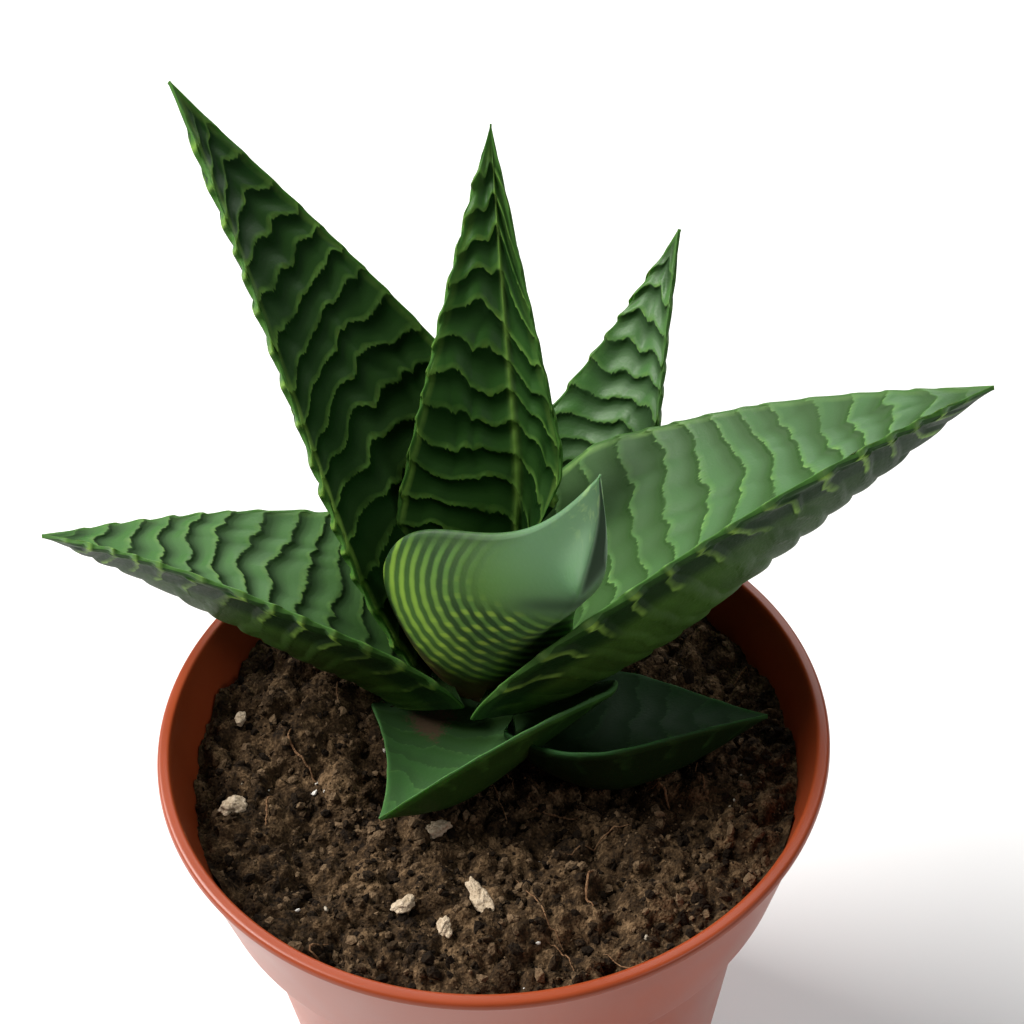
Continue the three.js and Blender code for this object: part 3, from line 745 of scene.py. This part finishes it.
def ridge_profile(phase, face):
    """Counted from a crest towards the tip: above, the rounded crest falls away in a long slope to a foot,
    and a steeper step climbs to the next crest. Below, a short fall leads to a notch and a pad swells from
    it."""
    share = (phase - CREST_PHASE) % 1.0
    slope = np.clip(share / RIDGE_FOOT, 0, 1) ** 0.75
    step = np.clip((1 - share) / (1 - RIDGE_FOOT), 0, 1)
    above = 0.5 + 0.5 * np.cos(np.pi * np.where(share < RIDGE_FOOT, slope, step))
    fall = np.cos(np.clip(share / RIDGE_NOTCH, 0, 1) * np.pi / 2) ** 0.9
    swell = np.sin(np.clip((share - RIDGE_NOTCH) / (1 - RIDGE_NOTCH), 0, 1) * np.pi / 2) ** 0.8
    below = np.where(share < RIDGE_NOTCH, fall, swell)
    return above * (1 - face) + below * face


def leaf_section(leaf, s, u, half):
    """The heights of both faces over the margins' plane: the hollow and the flesh are powers of the
    distance from the fold and from the keel, and a nose may swell on the keel. Gives the upper height and
    the thickness."""
    cup = between(leaf["cup"], s)
    depth = cup + between(leaf["thick"], s)
    keel = between(leaf["keel"], s)
    fold = leaf["fold"]
    away = np.where(u > fold, (u - fold) / (1 - fold), (fold - u) / (1 + fold))
    off = np.where(u > keel, (u - keel) / (1 - keel), (keel - u) / (1 + keel))
    top = -cup * half * (1 - away ** leaf["fold_power"])
    nose_height, nose_place, nose_reach = leaf["nose"]
    nose = nose_height * np.exp(-((s - nose_place) / nose_reach) ** 2 - ((u - keel) / 0.5) ** 2)
    flesh = np.maximum(depth * half * (1 - off ** between((2.2, 1.3), s)) + nose + top, 0)
    return top, np.hypot(flesh, between(MARGIN_THICKNESS, s))


def leaf_grid(leaf, row_step):
    """Rows run round the blade's cross-section: u = cos t, above where sin t is positive and below where it
    isn't. The margins are rounded, and the ridges stand up along the face's own direction. Below, they are
    strongest along the keel; each margin keeps its own share of them and has a knob on each crest."""
    rows = int(leaf["length"] / row_step)
    s = 1 - (1 - np.linspace(0, 1, rows)) ** 1.15
    place, side, normal = leaf_spine(leaf, s)
    t = np.arange(AROUND) / AROUND * 2 * np.pi
    u = np.broadcast_to(np.cos(t), (rows, AROUND))
    face = np.broadcast_to((np.sin(t) < -1e-9).astype(float), (rows, AROUND))
    along = np.broadcast_to(s[:, None], (rows, AROUND))
    half = leaf_half_width(leaf, s)[:, None]
    top, thickness = leaf_section(leaf, along, u, half)
    # the margin's rounding, and a share that falls to 0 on it
    edge = between(MARGIN_THICKNESS, along) * (1 - 0.75 * eased(0.93, 1.0, along))
    rounding = np.minimum(edge / 2 / half, 0.9)
    curl = 1 - np.sqrt(np.clip(1 - (np.clip(np.abs(u) - 1 + rounding, 0, None) / rounding) ** 2, 0, 1))
    inner = 1 - eased(0.93, 1.0, np.abs(u))
    phase = ridge_phase(leaf, along, u, half, face * inner + 0.5 * (1 - inner))
    # the ridges fade out at both ends of the leaf, and are stronger in some patches than in others
    fade = eased(0.02, 0.1, along) * (1 - eased(0.88, 0.98, along))
    seed = leaf["seed"]
    patch = soft_noise(u * half / 4.5 + 9 * face, along * leaf["ridges"] * 0.55 + seed, 81)
    strength = 0.65 + 0.5 * eased(0.15, 0.6, patch)
    kept = between(leaf["knobs"], (u + 1) / 2)
    on_margin = 1 - (1 - kept) * eased(0.7, 1.0, np.abs(u))
    near_keel = 0.35 + 0.75 * np.exp(-((u - between(leaf["keel"], along)) / 0.35) ** 2)
    ridge = ridge_profile(phase, face) * fade * strength * on_margin
    raised = leaf["relief"] * ridge * np.where(face > 0, near_keel, leaf["step"])
    # a knob on the margin at each crest, and a rib along the leaf that the ridges bead
    share = (phase - CREST_PHASE + 0.5) % 1.0 - 0.5
    knob = kept * np.exp(-(share / 0.2) ** 2) * fade * eased(0.8, 1.0, np.abs(u))
    rib_height, rib_place, rib_width = leaf["rib"]
    rib = np.exp(-((u - rib_place) / rib_width) ** 2) * fade * (1 - face) * (rib_height > 0)
    above = top - edge / 2 * curl + raised + 0.12 * knob
    above = above + rib_height * rib * (0.8 + 0.25 * np.cos(4 * np.pi * phase))
    below = top - thickness + edge / 2 * curl - raised - 0.08 * knob
    lift = np.where(face > 0, below, above)
    reach = half + (0.9 * leaf["relief"] * ridge + 0.2 * leaf["relief"] * knob) * u ** 2
    # one side may flare near the base
    flare_side, flare, flare_place, flare_reach = leaf["flare"]
    wider = flare * np.exp(-((along - flare_place) / flare_reach) ** 2) * np.clip(u * flare_side, 0, 1) ** 2
    lateral = reach * u + flare_side * wider
    points = place[:, None] + side[:, None] * lateral[..., None] + normal[:, None] * lift[..., None]
    middles = np.stack([points[0].mean(axis=0), points[-1].mean(axis=0)])
    near_root = (1 - face) * (1 - eased(0.25, 0.6, along))
    values = {
        "phase": phase - CREST_PHASE + 40,
        "across": u * half + 40,
        "inset": half * (1 - np.abs(u)),
        "rim": between(leaf["rim"], (u + 1) / 2) * (1 - face) * (1 - 0.65 * eased(0.35, 0.6, along)),
        "knobs": kept,
        "rib": rib,
        "litter": leaf["litter"] * near_root * np.exp(-((u + 0.5) / 0.35) ** 2),
        "fade": fade * np.clip(strength, 0, 1),
        "along": along,
        "below": face,
    }
    return points, middles, values


def close_leaf(points, middles, values):
    """The base and the tip are closed by a fan to their middle point, made as a row of equal points."""
    rows, around, _ = points.shape
    first = np.broadcast_to(middles[0], (1, around, 3))
    last = np.broadcast_to(middles[1], (1, around, 3))
    closed = np.concatenate([first, points, last]).reshape(-1, 3)
    padded = {key: np.concatenate([array[:1], array, array[-1:]]).ravel() for key, array in values.items()}
    return closed, grid_faces(rows + 2, around, wrapped=True), padded


def leaf_attributes(tree, *names):
    """The named values of a leaf's points, as sockets."""
    return [add_node(tree, "ShaderNodeAttribute", attribute_name=name).outputs["Fac"] for name in names]


def own_start(tree, counted):
    """A random number of its own for each ridge or band: white noise at the nearest whole count."""
    count = maths(tree, "FLOOR", maths(tree, "ADD", counted, 0.5))
    return add_node(tree, "ShaderNodeTexWhiteNoise", {"W": count}, noise_dimensions="1D").outputs["Value"]


def build_ridge_lines():
    """Where a point lies between two crests, from 0 on one to 1 on the next towards the tip: the fraction
    of the ridge count. Close to a crest small teeth point to the base, with their own start on each crest.
    Height repeats the ridges' own form for a bump, and Teeth is 1 on a tooth."""
    group, _, shown = start_group("ridge lines", [], ["Share", "Teeth", "Height"])
    phase, across, fade = leaf_attributes(group, "phase", "across", "fade")
    turn = maths(group, "ADD", times(group, across, 2.1), times(group, own_start(group, phase), 9.0))
    slow = {"W": turn, "Scale": 0.35, "Detail": 1.0}
    wander = add_node(group, "ShaderNodeTexNoise", slow, noise_dimensions="1D").outputs["Fac"]
    bent = maths(group, "MULTIPLY_ADD", wander, 5.0, turn)
    teeth = maths(group, "SUBTRACT", 1.0, maths(group, "ABSOLUTE", maths(group, "SINE", bent)))
    near = ramp(group, maths(group, "FRACT", phase), [(0.0, 1.0), (0.12, 0.0), (0.78, 0.0), (0.92, 1.0)])
    share = maths(group, "FRACT", maths(group, "MULTIPLY_ADD", times(group, teeth, near), 0.08, phase))
    form = ramp(group, share, [
        (0.0, 1.0), (0.12, 0.8), (0.4, 0.25), (0.66, 0.0), (0.84, 0.3), (0.95, 0.88), (1.0, 1.0)])
    for name, socket in (("Share", share), ("Teeth", teeth), ("Height", times(group, form, fade))):
        group.links.new(socket, shown[name])
    return group


ridge_lines = build_ridge_lines()


def tinted(colour, *factors):
    """A colour times one factor, or times one each for red, green and blue."""
    return tuple((np.array(colour) * factors).tolist())


def leaf_margin(tree, skin, lines, leaf_grain, edge, bright):
    """The skin's outer millimetre turns to the edge's colour, with a pale knob where a crest meets it."""
    inset, kept, fade = leaf_attributes(tree, "inset", "knobs", "fade")
    margin = ramp(tree, times(tree, inset, 0.5), [(0.0, 1.0), (0.18, 0.8), (0.36, 0.0)])
    wide = ramp(tree, lines["Share"], [(0.0, 1.0), (0.07, 0.6), (0.16, 0.0), (0.86, 0.0), (0.97, 0.8)])
    patchy = ramp(tree, leaf_grain["Coarse"], [(0.3, 0.3), (0.6, 1.0)])
    return mix(tree, margin, skin, mix(tree, times(tree, wide, patchy, kept, fade), edge, bright))


def start_skin(name, coarse_scale, specular, ior):
    """A leaf skin's material with light that soaks into the flesh, its grain and the ridge lines on it."""
    material, tree, shader = start_material(
        name, IOR=ior, Specular_IOR_Level=specular, Subsurface_Weight=0.1,
        Subsurface_Radius=(0.0012, 0.0022, 0.0005), Subsurface_Scale=1.0)
    lines = add_node(tree, "ShaderNodeGroup", node_tree=ridge_lines).outputs
    return material, tree, shader, grain(tree, coarse_scale, 2400.0), lines


def finish_skin(tree, shader, colour, rough, lines, leaf_grain, relief):
    """A skin's colour and roughness, a bump from the ridges and a finer one from the grain over it."""
    ridges = {"Height": lines["Height"], "Strength": 1.0, "Distance": relief}
    steps = add_node(tree, "ShaderNodeBump", ridges).outputs[0]
    dress(tree, shader, colour, rough, Height=leaf_grain["Fine"], Strength=0.2, Distance=0.0002, Normal=steps)


def upper_skin(name, deep, plate, crest, edge, relief, shine):
    """Waxy ridged skin above. From each pale toothed crest towards the tip, a plate greyed by painted sheen
    darkens into deep green at the foot of the next step, which is painted shade; near the leaf's base the
    plates are painted darker and greener as shade and are duller, and litter can lie there. A broken pale
    line runs inside some margins."""
    material, tree, shader, leaf_grain, lines = start_skin(name, 220.0, shine, ior=1.45)
    along, fade, inset = leaf_attributes(tree, "along", "fade", "inset")
    rim, rib, litter = leaf_attributes(tree, "rim", "rib", "litter")
    bright = tinted(crest, 1.7, 1.4, 1.3)
    # near the base the plate is tinted darker and greener as painted shade; the same share also makes it
    # rougher
    near_base = ramp(tree, along, [(0.2, 1.0), (0.5, 0.0)])
    plate_with_base_shade = mix(tree, near_base, plate, tinted(plate, 0.4, 0.5, 0.2))
    # painted sheen on the plate after each crest, and painted shade towards the foot of the next step
    step_shade_and_sheen = ramp(tree, lines["Share"], [(0.0, 0.85), (0.12, 1.0), (0.35, 0.8), (0.66, 0.15), (0.9, 0.0)])
    skin = mix(tree, times(tree, step_shade_and_sheen, fade), deep, plate_with_base_shade)
    patchy = ramp(tree, leaf_grain["Coarse"], [(0.32, 0.2), (0.6, 1.0)])
    thin = ramp(tree, lines["Share"], [(0.0, 1.0), (0.035, 0.75), (0.14, 0.0), (0.955, 0.0), (0.99, 1.0)])
    crest_tone = mix(tree, maths(tree, "POWER", lines["Teeth"], 3.0), crest, bright)
    crested = mix(tree, times(tree, thin, patchy, fade), skin, crest_tone)
    with_margin = leaf_margin(tree, crested, lines, leaf_grain, edge, bright)
    band = ramp(tree, times(tree, inset, 0.25), [(0.1, 0.0), (0.18, 1.0), (0.26, 0.7), (0.36, 0.0)])
    pale_line = maths(tree, "MAXIMUM", times(tree, band, patchy, rim), times(tree, rib, 0.6))
    bits = maths(tree, "MULTIPLY_ADD", leaf_grain["Fine"], 0.7, leaf_grain["Coarse"])
    bits_lie = maths(tree, "MULTIPLY_ADD", litter, 0.5, times(tree, bits, 0.5))
    lying = ramp(tree, bits_lie, [(0.81, 0.0), (0.92, 1.0)])
    colour = mix(tree, lying, mix(tree, pale_line, with_margin, bright), (0.11, 0.072, 0.042))
    rough_plate = ramp(tree, leaf_grain["Fine"], [(0.3, 0.32), (0.7, 0.44)])
    rough = mix(tree, maths(tree, "MAXIMUM", near_base, lying), mix(tree, step_shade_and_sheen, 0.65, rough_plate), 0.75)
    finish_skin(tree, shader, colour, rough, lines, leaf_grain, relief)
    return material


def under_skin(name, deep, plate, pad, crest, edge, relief):
    """Duller skin below: dark pads lie under the margin, parted by short pale strokes that end in a knob, and
    between them and the keel the skin is plain; towards the tip the pads' dark green covers the whole
    underside as painted shade."""
    material, tree, shader, leaf_grain, lines = start_skin(name, 180.0, 0.3, ior=1.3)
    fade, inset, along = leaf_attributes(tree, "fade", "inset", "along")
    tenth = times(tree, inset, 0.1)
    # painted shade: towards the tip the underside takes the pads' dark green
    tip_shade_paint = ramp(tree, along, [(0.45, 0.0), (0.85, 0.9)])
    near_margin = ramp(tree, tenth, [(0.0, 1.0), (0.2, 0.9), (0.32, 0.0)])
    near_margin = maths(tree, "MAXIMUM", near_margin, tip_shade_paint)
    mottle = ramp(tree, leaf_grain["Coarse"], [(0.35, 0.0), (0.68, 1.0)])
    skin = mix(tree, near_margin, mix(tree, mottle, deep, plate), pad)
    stroke = ramp(tree, tenth, [(0.0, 0.75), (0.19, 0.65), (0.22, 1.0), (0.25, 0.8), (0.29, 0.0)])
    thin = ramp(tree, lines["Share"], [(0.0, 1.0), (0.08, 0.5), (0.14, 0.0), (0.9, 0.0), (0.97, 1.0)])
    patchy = ramp(tree, leaf_grain["Coarse"], [(0.35, 0.25), (0.6, 1.0)])
    stroked = mix(tree, times(tree, thin, patchy, stroke, fade), skin, crest)
    colour = leaf_margin(tree, stroked, lines, leaf_grain, edge, tinted(crest, 1.4, 1.3, 1.2))
    rough = ramp(tree, leaf_grain["Fine"], [(0.3, 0.45), (0.7, 0.58)])
    finish_skin(tree, shader, colour, rough, lines, leaf_grain, relief)
    return material


def place_leaf(node, shape, row_step, above, below):
    """A leaf's blade with the first skin on its upper face and the second on its underside."""
    mesh = mesh_from(node + "_blade", *close_leaf(*leaf_grid({**LEAF_DEFAULTS, **shape}, row_step)))
    place_piece(node + "_blade", mesh, above, [node])
    mesh.materials.append(below)
    corners = np.empty(len(mesh.loops), dtype=int)
    mesh.loops.foreach_get("vertex_index", corners)
    starts = np.empty(len(mesh.polygons), dtype=int)
    mesh.polygons.foreach_get("loop_start", starts)
    under = np.empty(len(mesh.vertices))
    mesh.attributes["below"].data.foreach_get("value", under)
    counts = np.diff(np.append(starts, len(corners)))
    share = np.add.reduceat(under[corners], starts) / counts
    mesh.polygons.foreach_set("material_index", (share > 0.5).astype(int))


ridged_below = under_skin(
    "ridged leaf skin below", deep=(0.034, 0.084, 0.012), plate=(0.052, 0.125, 0.018),
    pad=(0.007, 0.028, 0.006), crest=(0.24, 0.44, 0.075), edge=(0.02, 0.065, 0.01), relief=0.00015)
RIDGED_SKINS = {
    # node: the deep, plate and crest colours above and how strongly the wax shines
    "leaf_long_right": ((0.026, 0.075, 0.013), (0.064, 0.155, 0.05), (0.09, 0.21, 0.055), 0.28),
    "leaf_spread_left": ((0.015, 0.05, 0.008), (0.06, 0.155, 0.04), (0.105, 0.23, 0.05), 0.28),
    "leaf_upright_middle": ((0.006, 0.032, 0.003), (0.034, 0.105, 0.019), (0.115, 0.25, 0.045), 0.14),
    "leaf_tall_left": ((0.005, 0.028, 0.003), (0.021, 0.062, 0.012), (0.115, 0.25, 0.045), 0.1),
    "leaf_small_back": ((0.012, 0.045, 0.007), (0.055, 0.15, 0.036), (0.09, 0.21, 0.05), 0.25),
}
for node, shape in RIDGED_LEAVES.items():
    deep, plate, crest, shine = RIDGED_SKINS[node]
    ridged_above = upper_skin(
        node + " skin above", deep=deep, plate=plate, crest=crest, edge=(0.05, 0.14, 0.022), relief=0.0002,
        shine=shine)
    place_leaf(node, shape, RIDGED_ROW, ridged_above, ridged_below)


# The two low leaves: older, shorter blades with smoother skin, which lie out over the soil under the rosette.
# They are made as the others are, with only faint ridges.

LOW_LEAVES = {
    "leaf_low_front": {
        "root": (0.9, 10.5, 74.7), "azimuth": -114, "sweep": -18, "rise": (28, -18.5),
        "length": 31, "width": 37.5, "peak": 0.14, "base": 0.95, "taper": 1.2, "cup": (0.13, 0.7),
        "thick": (0.18, 0.7), "roll": (16, 36.5), "keel": (-0.18, -0.18),
        "ridges": 7, "relief": 0.06, "bow": (0.4, 0.4), "litter": 1, "seed": 7,
    },
    "leaf_low_right": {
        "root": (2.7, 4.4, 76.3), "azimuth": -11, "sweep": 0, "rise": (5, 3),
        "length": 35, "width": 29, "peak": 0.42, "base": 0.45, "taper": 1.55, "cup": (0.35, 0.35),
        "thick": (0.32, 0.32), "roll": (-17, -36), "keel": (-0.28, -0.28),
        "ridges": 7, "relief": 0.06, "bow": (0.4, 0.4), "seed": 8,
    },
}

LOW_ROW = 0.4
LOW_SKINS = {
    # node: the upper skin's plate and shine, and the underside's plain tone
    "leaf_low_front": ((0.045, 0.12, 0.034), 0.3, (0.034, 0.095, 0.016)),
    # the low right leaf's darker tones are painted shade, for the shadow of the long right leaf above it
    "leaf_low_right": ((0.013, 0.043, 0.012), 0.12, (0.01, 0.032, 0.008)),
}
for node, shape in LOW_LEAVES.items():
    plate, shine, plain = LOW_SKINS[node]
    low_above = upper_skin(
        node + " skin above", deep=tinted(plate, 0.8), plate=plate, crest=tinted(plate, 1.15),
        edge=tinted(plate, 1.6), relief=0.00002, shine=shine)
    low_below = under_skin(
        node + " skin below", deep=tinted(plain, 0.7), plate=plain, pad=tinted(plain, 0.75),
        crest=tinted(plain, 2.2), edge=tinted(plain, 1.3), relief=0.00003)
    place_leaf(node, shape, LOW_ROW, low_above, low_below)


# The young leaf: the newest blade, which stands up in front of the others and bends over backwards at its
# tip. Its outer face shows, crossed by fine pale bands, and its tip is a smooth grey-green beak whose grey is
# partly painted sheen.

YOUNG_LEAF = {
    "root": (-0.7, 9, 75.3), "azimuth": -67.5, "sweep": -7.5, "sweep_power": 1.9, "rise": (115.5, 66),
    "bend_power": 4.8, "sag": 72.5, "length": 81, "width": 27, "peak": 0.22, "base": 0.32, "taper": 1.2,
    "cup": (0.44, 0.19), "thick": (0.29, 0.67), "roll": (-44, -41), "keel": (0.04, 0.85),
    "nose": (2.2, 0.82, 0.06), "ridges": 14, "relief": 0.02, "bow": (0.2, 0.2), "knobs": (0, 0), "seed": 1,
}
NOSE_PLACE = 0.8
# the way up the nose in y and z
NOSE_UP = (0.65, 0.76)
YOUNG_ROW = 0.36
# the nose's smooth middle: its reach sideways, upwards and downwards
NOSE_SMOOTH = (11.5, 9.0, 3.4)
# across the leaf and up it
BAND_STEP = (1.5, 1.08)


def band_values(points, values):
    """Bands ring the nose, where the tip bends over, as ellipses. Gives how many bands lie between it and a
    point, the way round it in millimetres, and how far a point lies outside its smooth middle, is plain,
    yellow or beaded, and how much painted shade it takes on the keel's right flank and under the nose."""
    along = values["along"]
    nose_row = np.argmin(np.abs(along[:, 0] - NOSE_PLACE))
    around = np.arange(AROUND) / AROUND * 2 * np.pi
    from_keel = np.abs(np.cos(around) - between(YOUNG_LEAF["keel"], NOSE_PLACE))
    away = points - points[nose_row, np.argmin(from_keel + 9 * (np.sin(around) > 0))]
    across = away[..., 0]
    upwards = NOSE_UP[0] * away[..., 1] + NOSE_UP[1] * away[..., 2]
    bearing = np.arctan2(upwards, -across)
    distance = np.hypot(across, upwards)
    smooth_height = np.where(upwards > 0, NOSE_SMOOTH[1], NOSE_SMOOTH[2])
    outer = eased(0.7, 1.4, np.hypot(across / NOSE_SMOOTH[0], upwards / smooth_height))
    # a painted shadow under the nose's overhang
    shade = np.exp(-((upwards + 1.8) / 1.2) ** 2) * eased(-10, -3, across) * (1 - eased(1.0, 3.0, across))
    beyond_keel = np.cos(around) - between(YOUNG_LEAF["keel"], along)
    # painted shade on the underside's flank right of the keel, near the tip
    flank = eased(0.0, 0.12, beyond_keel) * eased(0.7, 0.82, along)
    return {
        "ring": np.hypot(across / BAND_STEP[0], upwards / BAND_STEP[1]),
        "way": distance * bearing + 100,
        "outer": outer * eased(0.03, 0.1, along) * (1 - eased(0.74, 0.82, along)),
        "plain": eased(4.0, 7.0, upwards - 0.4 * np.clip(-across - 17, 0, None)),
        "yellow": eased(13.0, 24.0, -across - 0.4 * upwards) * eased(0.1, 0.25, along),
        "beads": eased(4.0, 9.0, distance) * np.exp(-((bearing + 0.5) / 0.45) ** 2),
        # the dim share is painted shade
        "dim": np.maximum(flank, 0.8 * shade) * values["below"],
    }


def banded_material(name, deep, beak, band, yellow, streak, dim, foot):
    """Waxy young skin: pale bands on dark grey-green ring a plain grey-green beak, whose grey is partly
    painted sheen. Each band is a wave of the band count, broken into dots down the leaf's middle; the bands
    are yellower far from the nose, the beak has pale streaks along its edge and the leaf's foot is reddish
    brown. The dim colour is painted shade on the keel's right flank and under the nose."""
    material, tree, shader = start_material(
        name, IOR=1.45, Specular_IOR_Level=0.3, Subsurface_Weight=0.15,
        Subsurface_Radius=(0.0015, 0.0028, 0.0006), Subsurface_Scale=1.0)
    leaf_grain = grain(tree, 160.0, 2000.0)
    ring, way, outer, yellowness = leaf_attributes(tree, "ring", "way", "outer", "yellow")
    beaded, along, inset, painted_shade, plain = leaf_attributes(tree, "beads", "along", "inset", "dim", "plain")
    turns = maths(tree, "MULTIPLY_ADD", leaf_grain["Coarse"], 0.4, ring)
    wave = maths(tree, "COSINE", times(tree, turns, 2 * np.pi))
    bead_turn = maths(tree, "MULTIPLY_ADD", own_start(tree, turns), 6.3, times(tree, way, 2.9))
    beads = maths(tree, "SINE", bead_turn)
    broken = maths(tree, "ADD", wave, times(tree, beads, beaded, 0.3))
    shown = ramp(tree, maths(tree, "MULTIPLY_ADD", broken, 0.4, 0.5), [(0.3, 0.0), (0.75, 0.85), (1.0, 1.0)])
    share = times(tree, shown, outer, maths(tree, "SUBTRACT", 1.0, times(tree, plain, 0.85)))
    dots = times(tree, ramp(tree, beads, [(0.2, 0.0), (0.8, 1.0)]), beaded)
    pale = mix(tree, maths(tree, "MAXIMUM", yellowness, dots), band, yellow)
    warmer = maths(tree, "MAXIMUM", yellowness, times(tree, plain, 0.4))
    between_bands = mix(tree, warmer, deep, tinted(band, 0.62))
    towards_beak = ramp(tree, along, [(0.5, 0.0), (0.76, 1.0)])
    # the beak's grey-green is partly painted sheen
    smooth = mix(tree, towards_beak, tinted(band, 0.8), beak)
    at_margin = ramp(tree, times(tree, inset, 0.4), [(0.05, 1.0), (0.5, 0.0)])
    darker = times(tree, at_margin, maths(tree, "SUBTRACT", 1.0, towards_beak))
    ground = mix(tree, darker, mix(tree, outer, smooth, between_bands), deep)
    stretched = add_node(tree, "ShaderNodeCombineXYZ", {"X": inset, "Y": times(tree, along, 16.0)}).outputs[0]
    streaky = add_node(tree, "ShaderNodeTexNoise", {"Vector": stretched, "Scale": 1.6, "Detail": 3.0})
    streaks = ramp(tree, streaky.outputs["Fac"], [(0.54, 0.0), (0.64, 0.7)])
    on_beak = ramp(tree, along, [(0.82, 0.0), (0.96, 0.8)])
    ground = mix(tree, times(tree, streaks, on_beak), ground, streak)
    # painted shade where the dim share is high: on the keel's right flank and under the nose
    skin = mix(tree, painted_shade, mix(tree, share, ground, pale), dim)
    colour = mix(tree, ramp(tree, along, [(0.0, 1.0), (0.09, 0.7), (0.16, 0.0)]), skin, foot)
    rough = mix(tree, painted_shade, ramp(tree, leaf_grain["Fine"], [(0.3, 0.34), (0.7, 0.44)]), 0.9)
    dress(tree, shader, colour, rough, Height=share, Strength=0.4, Distance=0.0001)
    return material


# the dim colour is painted shade
young_skin = banded_material(
    "banded leaf skin", deep=(0.026, 0.062, 0.02), beak=(0.085, 0.19, 0.085), band=(0.1, 0.22, 0.045),
    yellow=(0.26, 0.42, 0.055), streak=(0.22, 0.36, 0.12), dim=(0.008, 0.03, 0.008), foot=(0.1, 0.04, 0.018))
young_points, young_middles, young_values = leaf_grid({**LEAF_DEFAULTS, **YOUNG_LEAF}, YOUNG_ROW)
young_values.update(band_values(young_points, young_values))
young_mesh = mesh_from("leaf_young_front_blade", *close_leaf(young_points, young_middles, young_values))
place_piece("leaf_young_front_blade", young_mesh, young_skin, ["leaf_young_front"])


# The stage: a plain pale floor under the pot, large soft lamps behind it on the left and at the back, a weak
# one in front on the right and a dim white room around. None of it is part of the object.

FLOOR_SIDE = 8000
FLOOR_LEVEL = -0.2

floor_finish, tree, shader = start_material("pale floor", Roughness=0.8)
floor_tone = grain(tree, 2.0, 40.0)
floor_colour = ramp(tree, floor_tone["Coarse"], [(0.0, 0.9), (1.0, 0.93)])
tree.links.new(floor_colour, shader.inputs["Base Color"])
floor_corners = [(-1, -1, 0), (1, -1, 0), (1, 1, 0), (-1, 1, 0)]
floor_points = np.array(floor_corners) * FLOOR_SIDE / 2 + np.array([0, 0, FLOOR_LEVEL])
floor = add_object("floor", mesh_from("floor", floor_points, np.array([[0, 1, 2, 3]])))
floor.data.materials.append(floor_finish)


def soft_lamp(name, place, aim, size, power, colour):
    """A square area lamp at a place, turned to face the aim."""
    data = bpy.data.lights.new(name, "AREA")
    data.size = size * MM
    data.energy = power
    data.color = colour
    lamp = add_object(name, data)
    back = np.array(place, dtype=float) - np.array(aim, dtype=float)
    back /= np.linalg.norm(back)
    right = np.cross((0, 0, 1), back)
    right /= np.linalg.norm(right)
    lamp.matrix_world = standing(place, right, np.cross(back, right), back)


LAMP_AIM = (0, 0, 80)
soft_lamp("window lamp", (-580, 190, 690), LAMP_AIM, 540, 13.5, (1.0, 0.98, 0.95))
soft_lamp("sky lamp", (170, 640, 640), LAMP_AIM, 700, 4.2, (0.97, 0.99, 1.0))
soft_lamp("right lamp", (560, -400, 520), LAMP_AIM, 320, 1.0, (0.98, 0.99, 1.0))

world = bpy.data.worlds.new("room")
world.use_nodes = True
world.node_tree.nodes["Background"].inputs["Color"].default_value = (1.0, 1.0, 1.0, 1.0)
world.node_tree.nodes["Background"].inputs["Strength"].default_value = 0.1
bpy.context.scene.world = world
bpy.context.scene.view_settings.view_transform = "Standard"
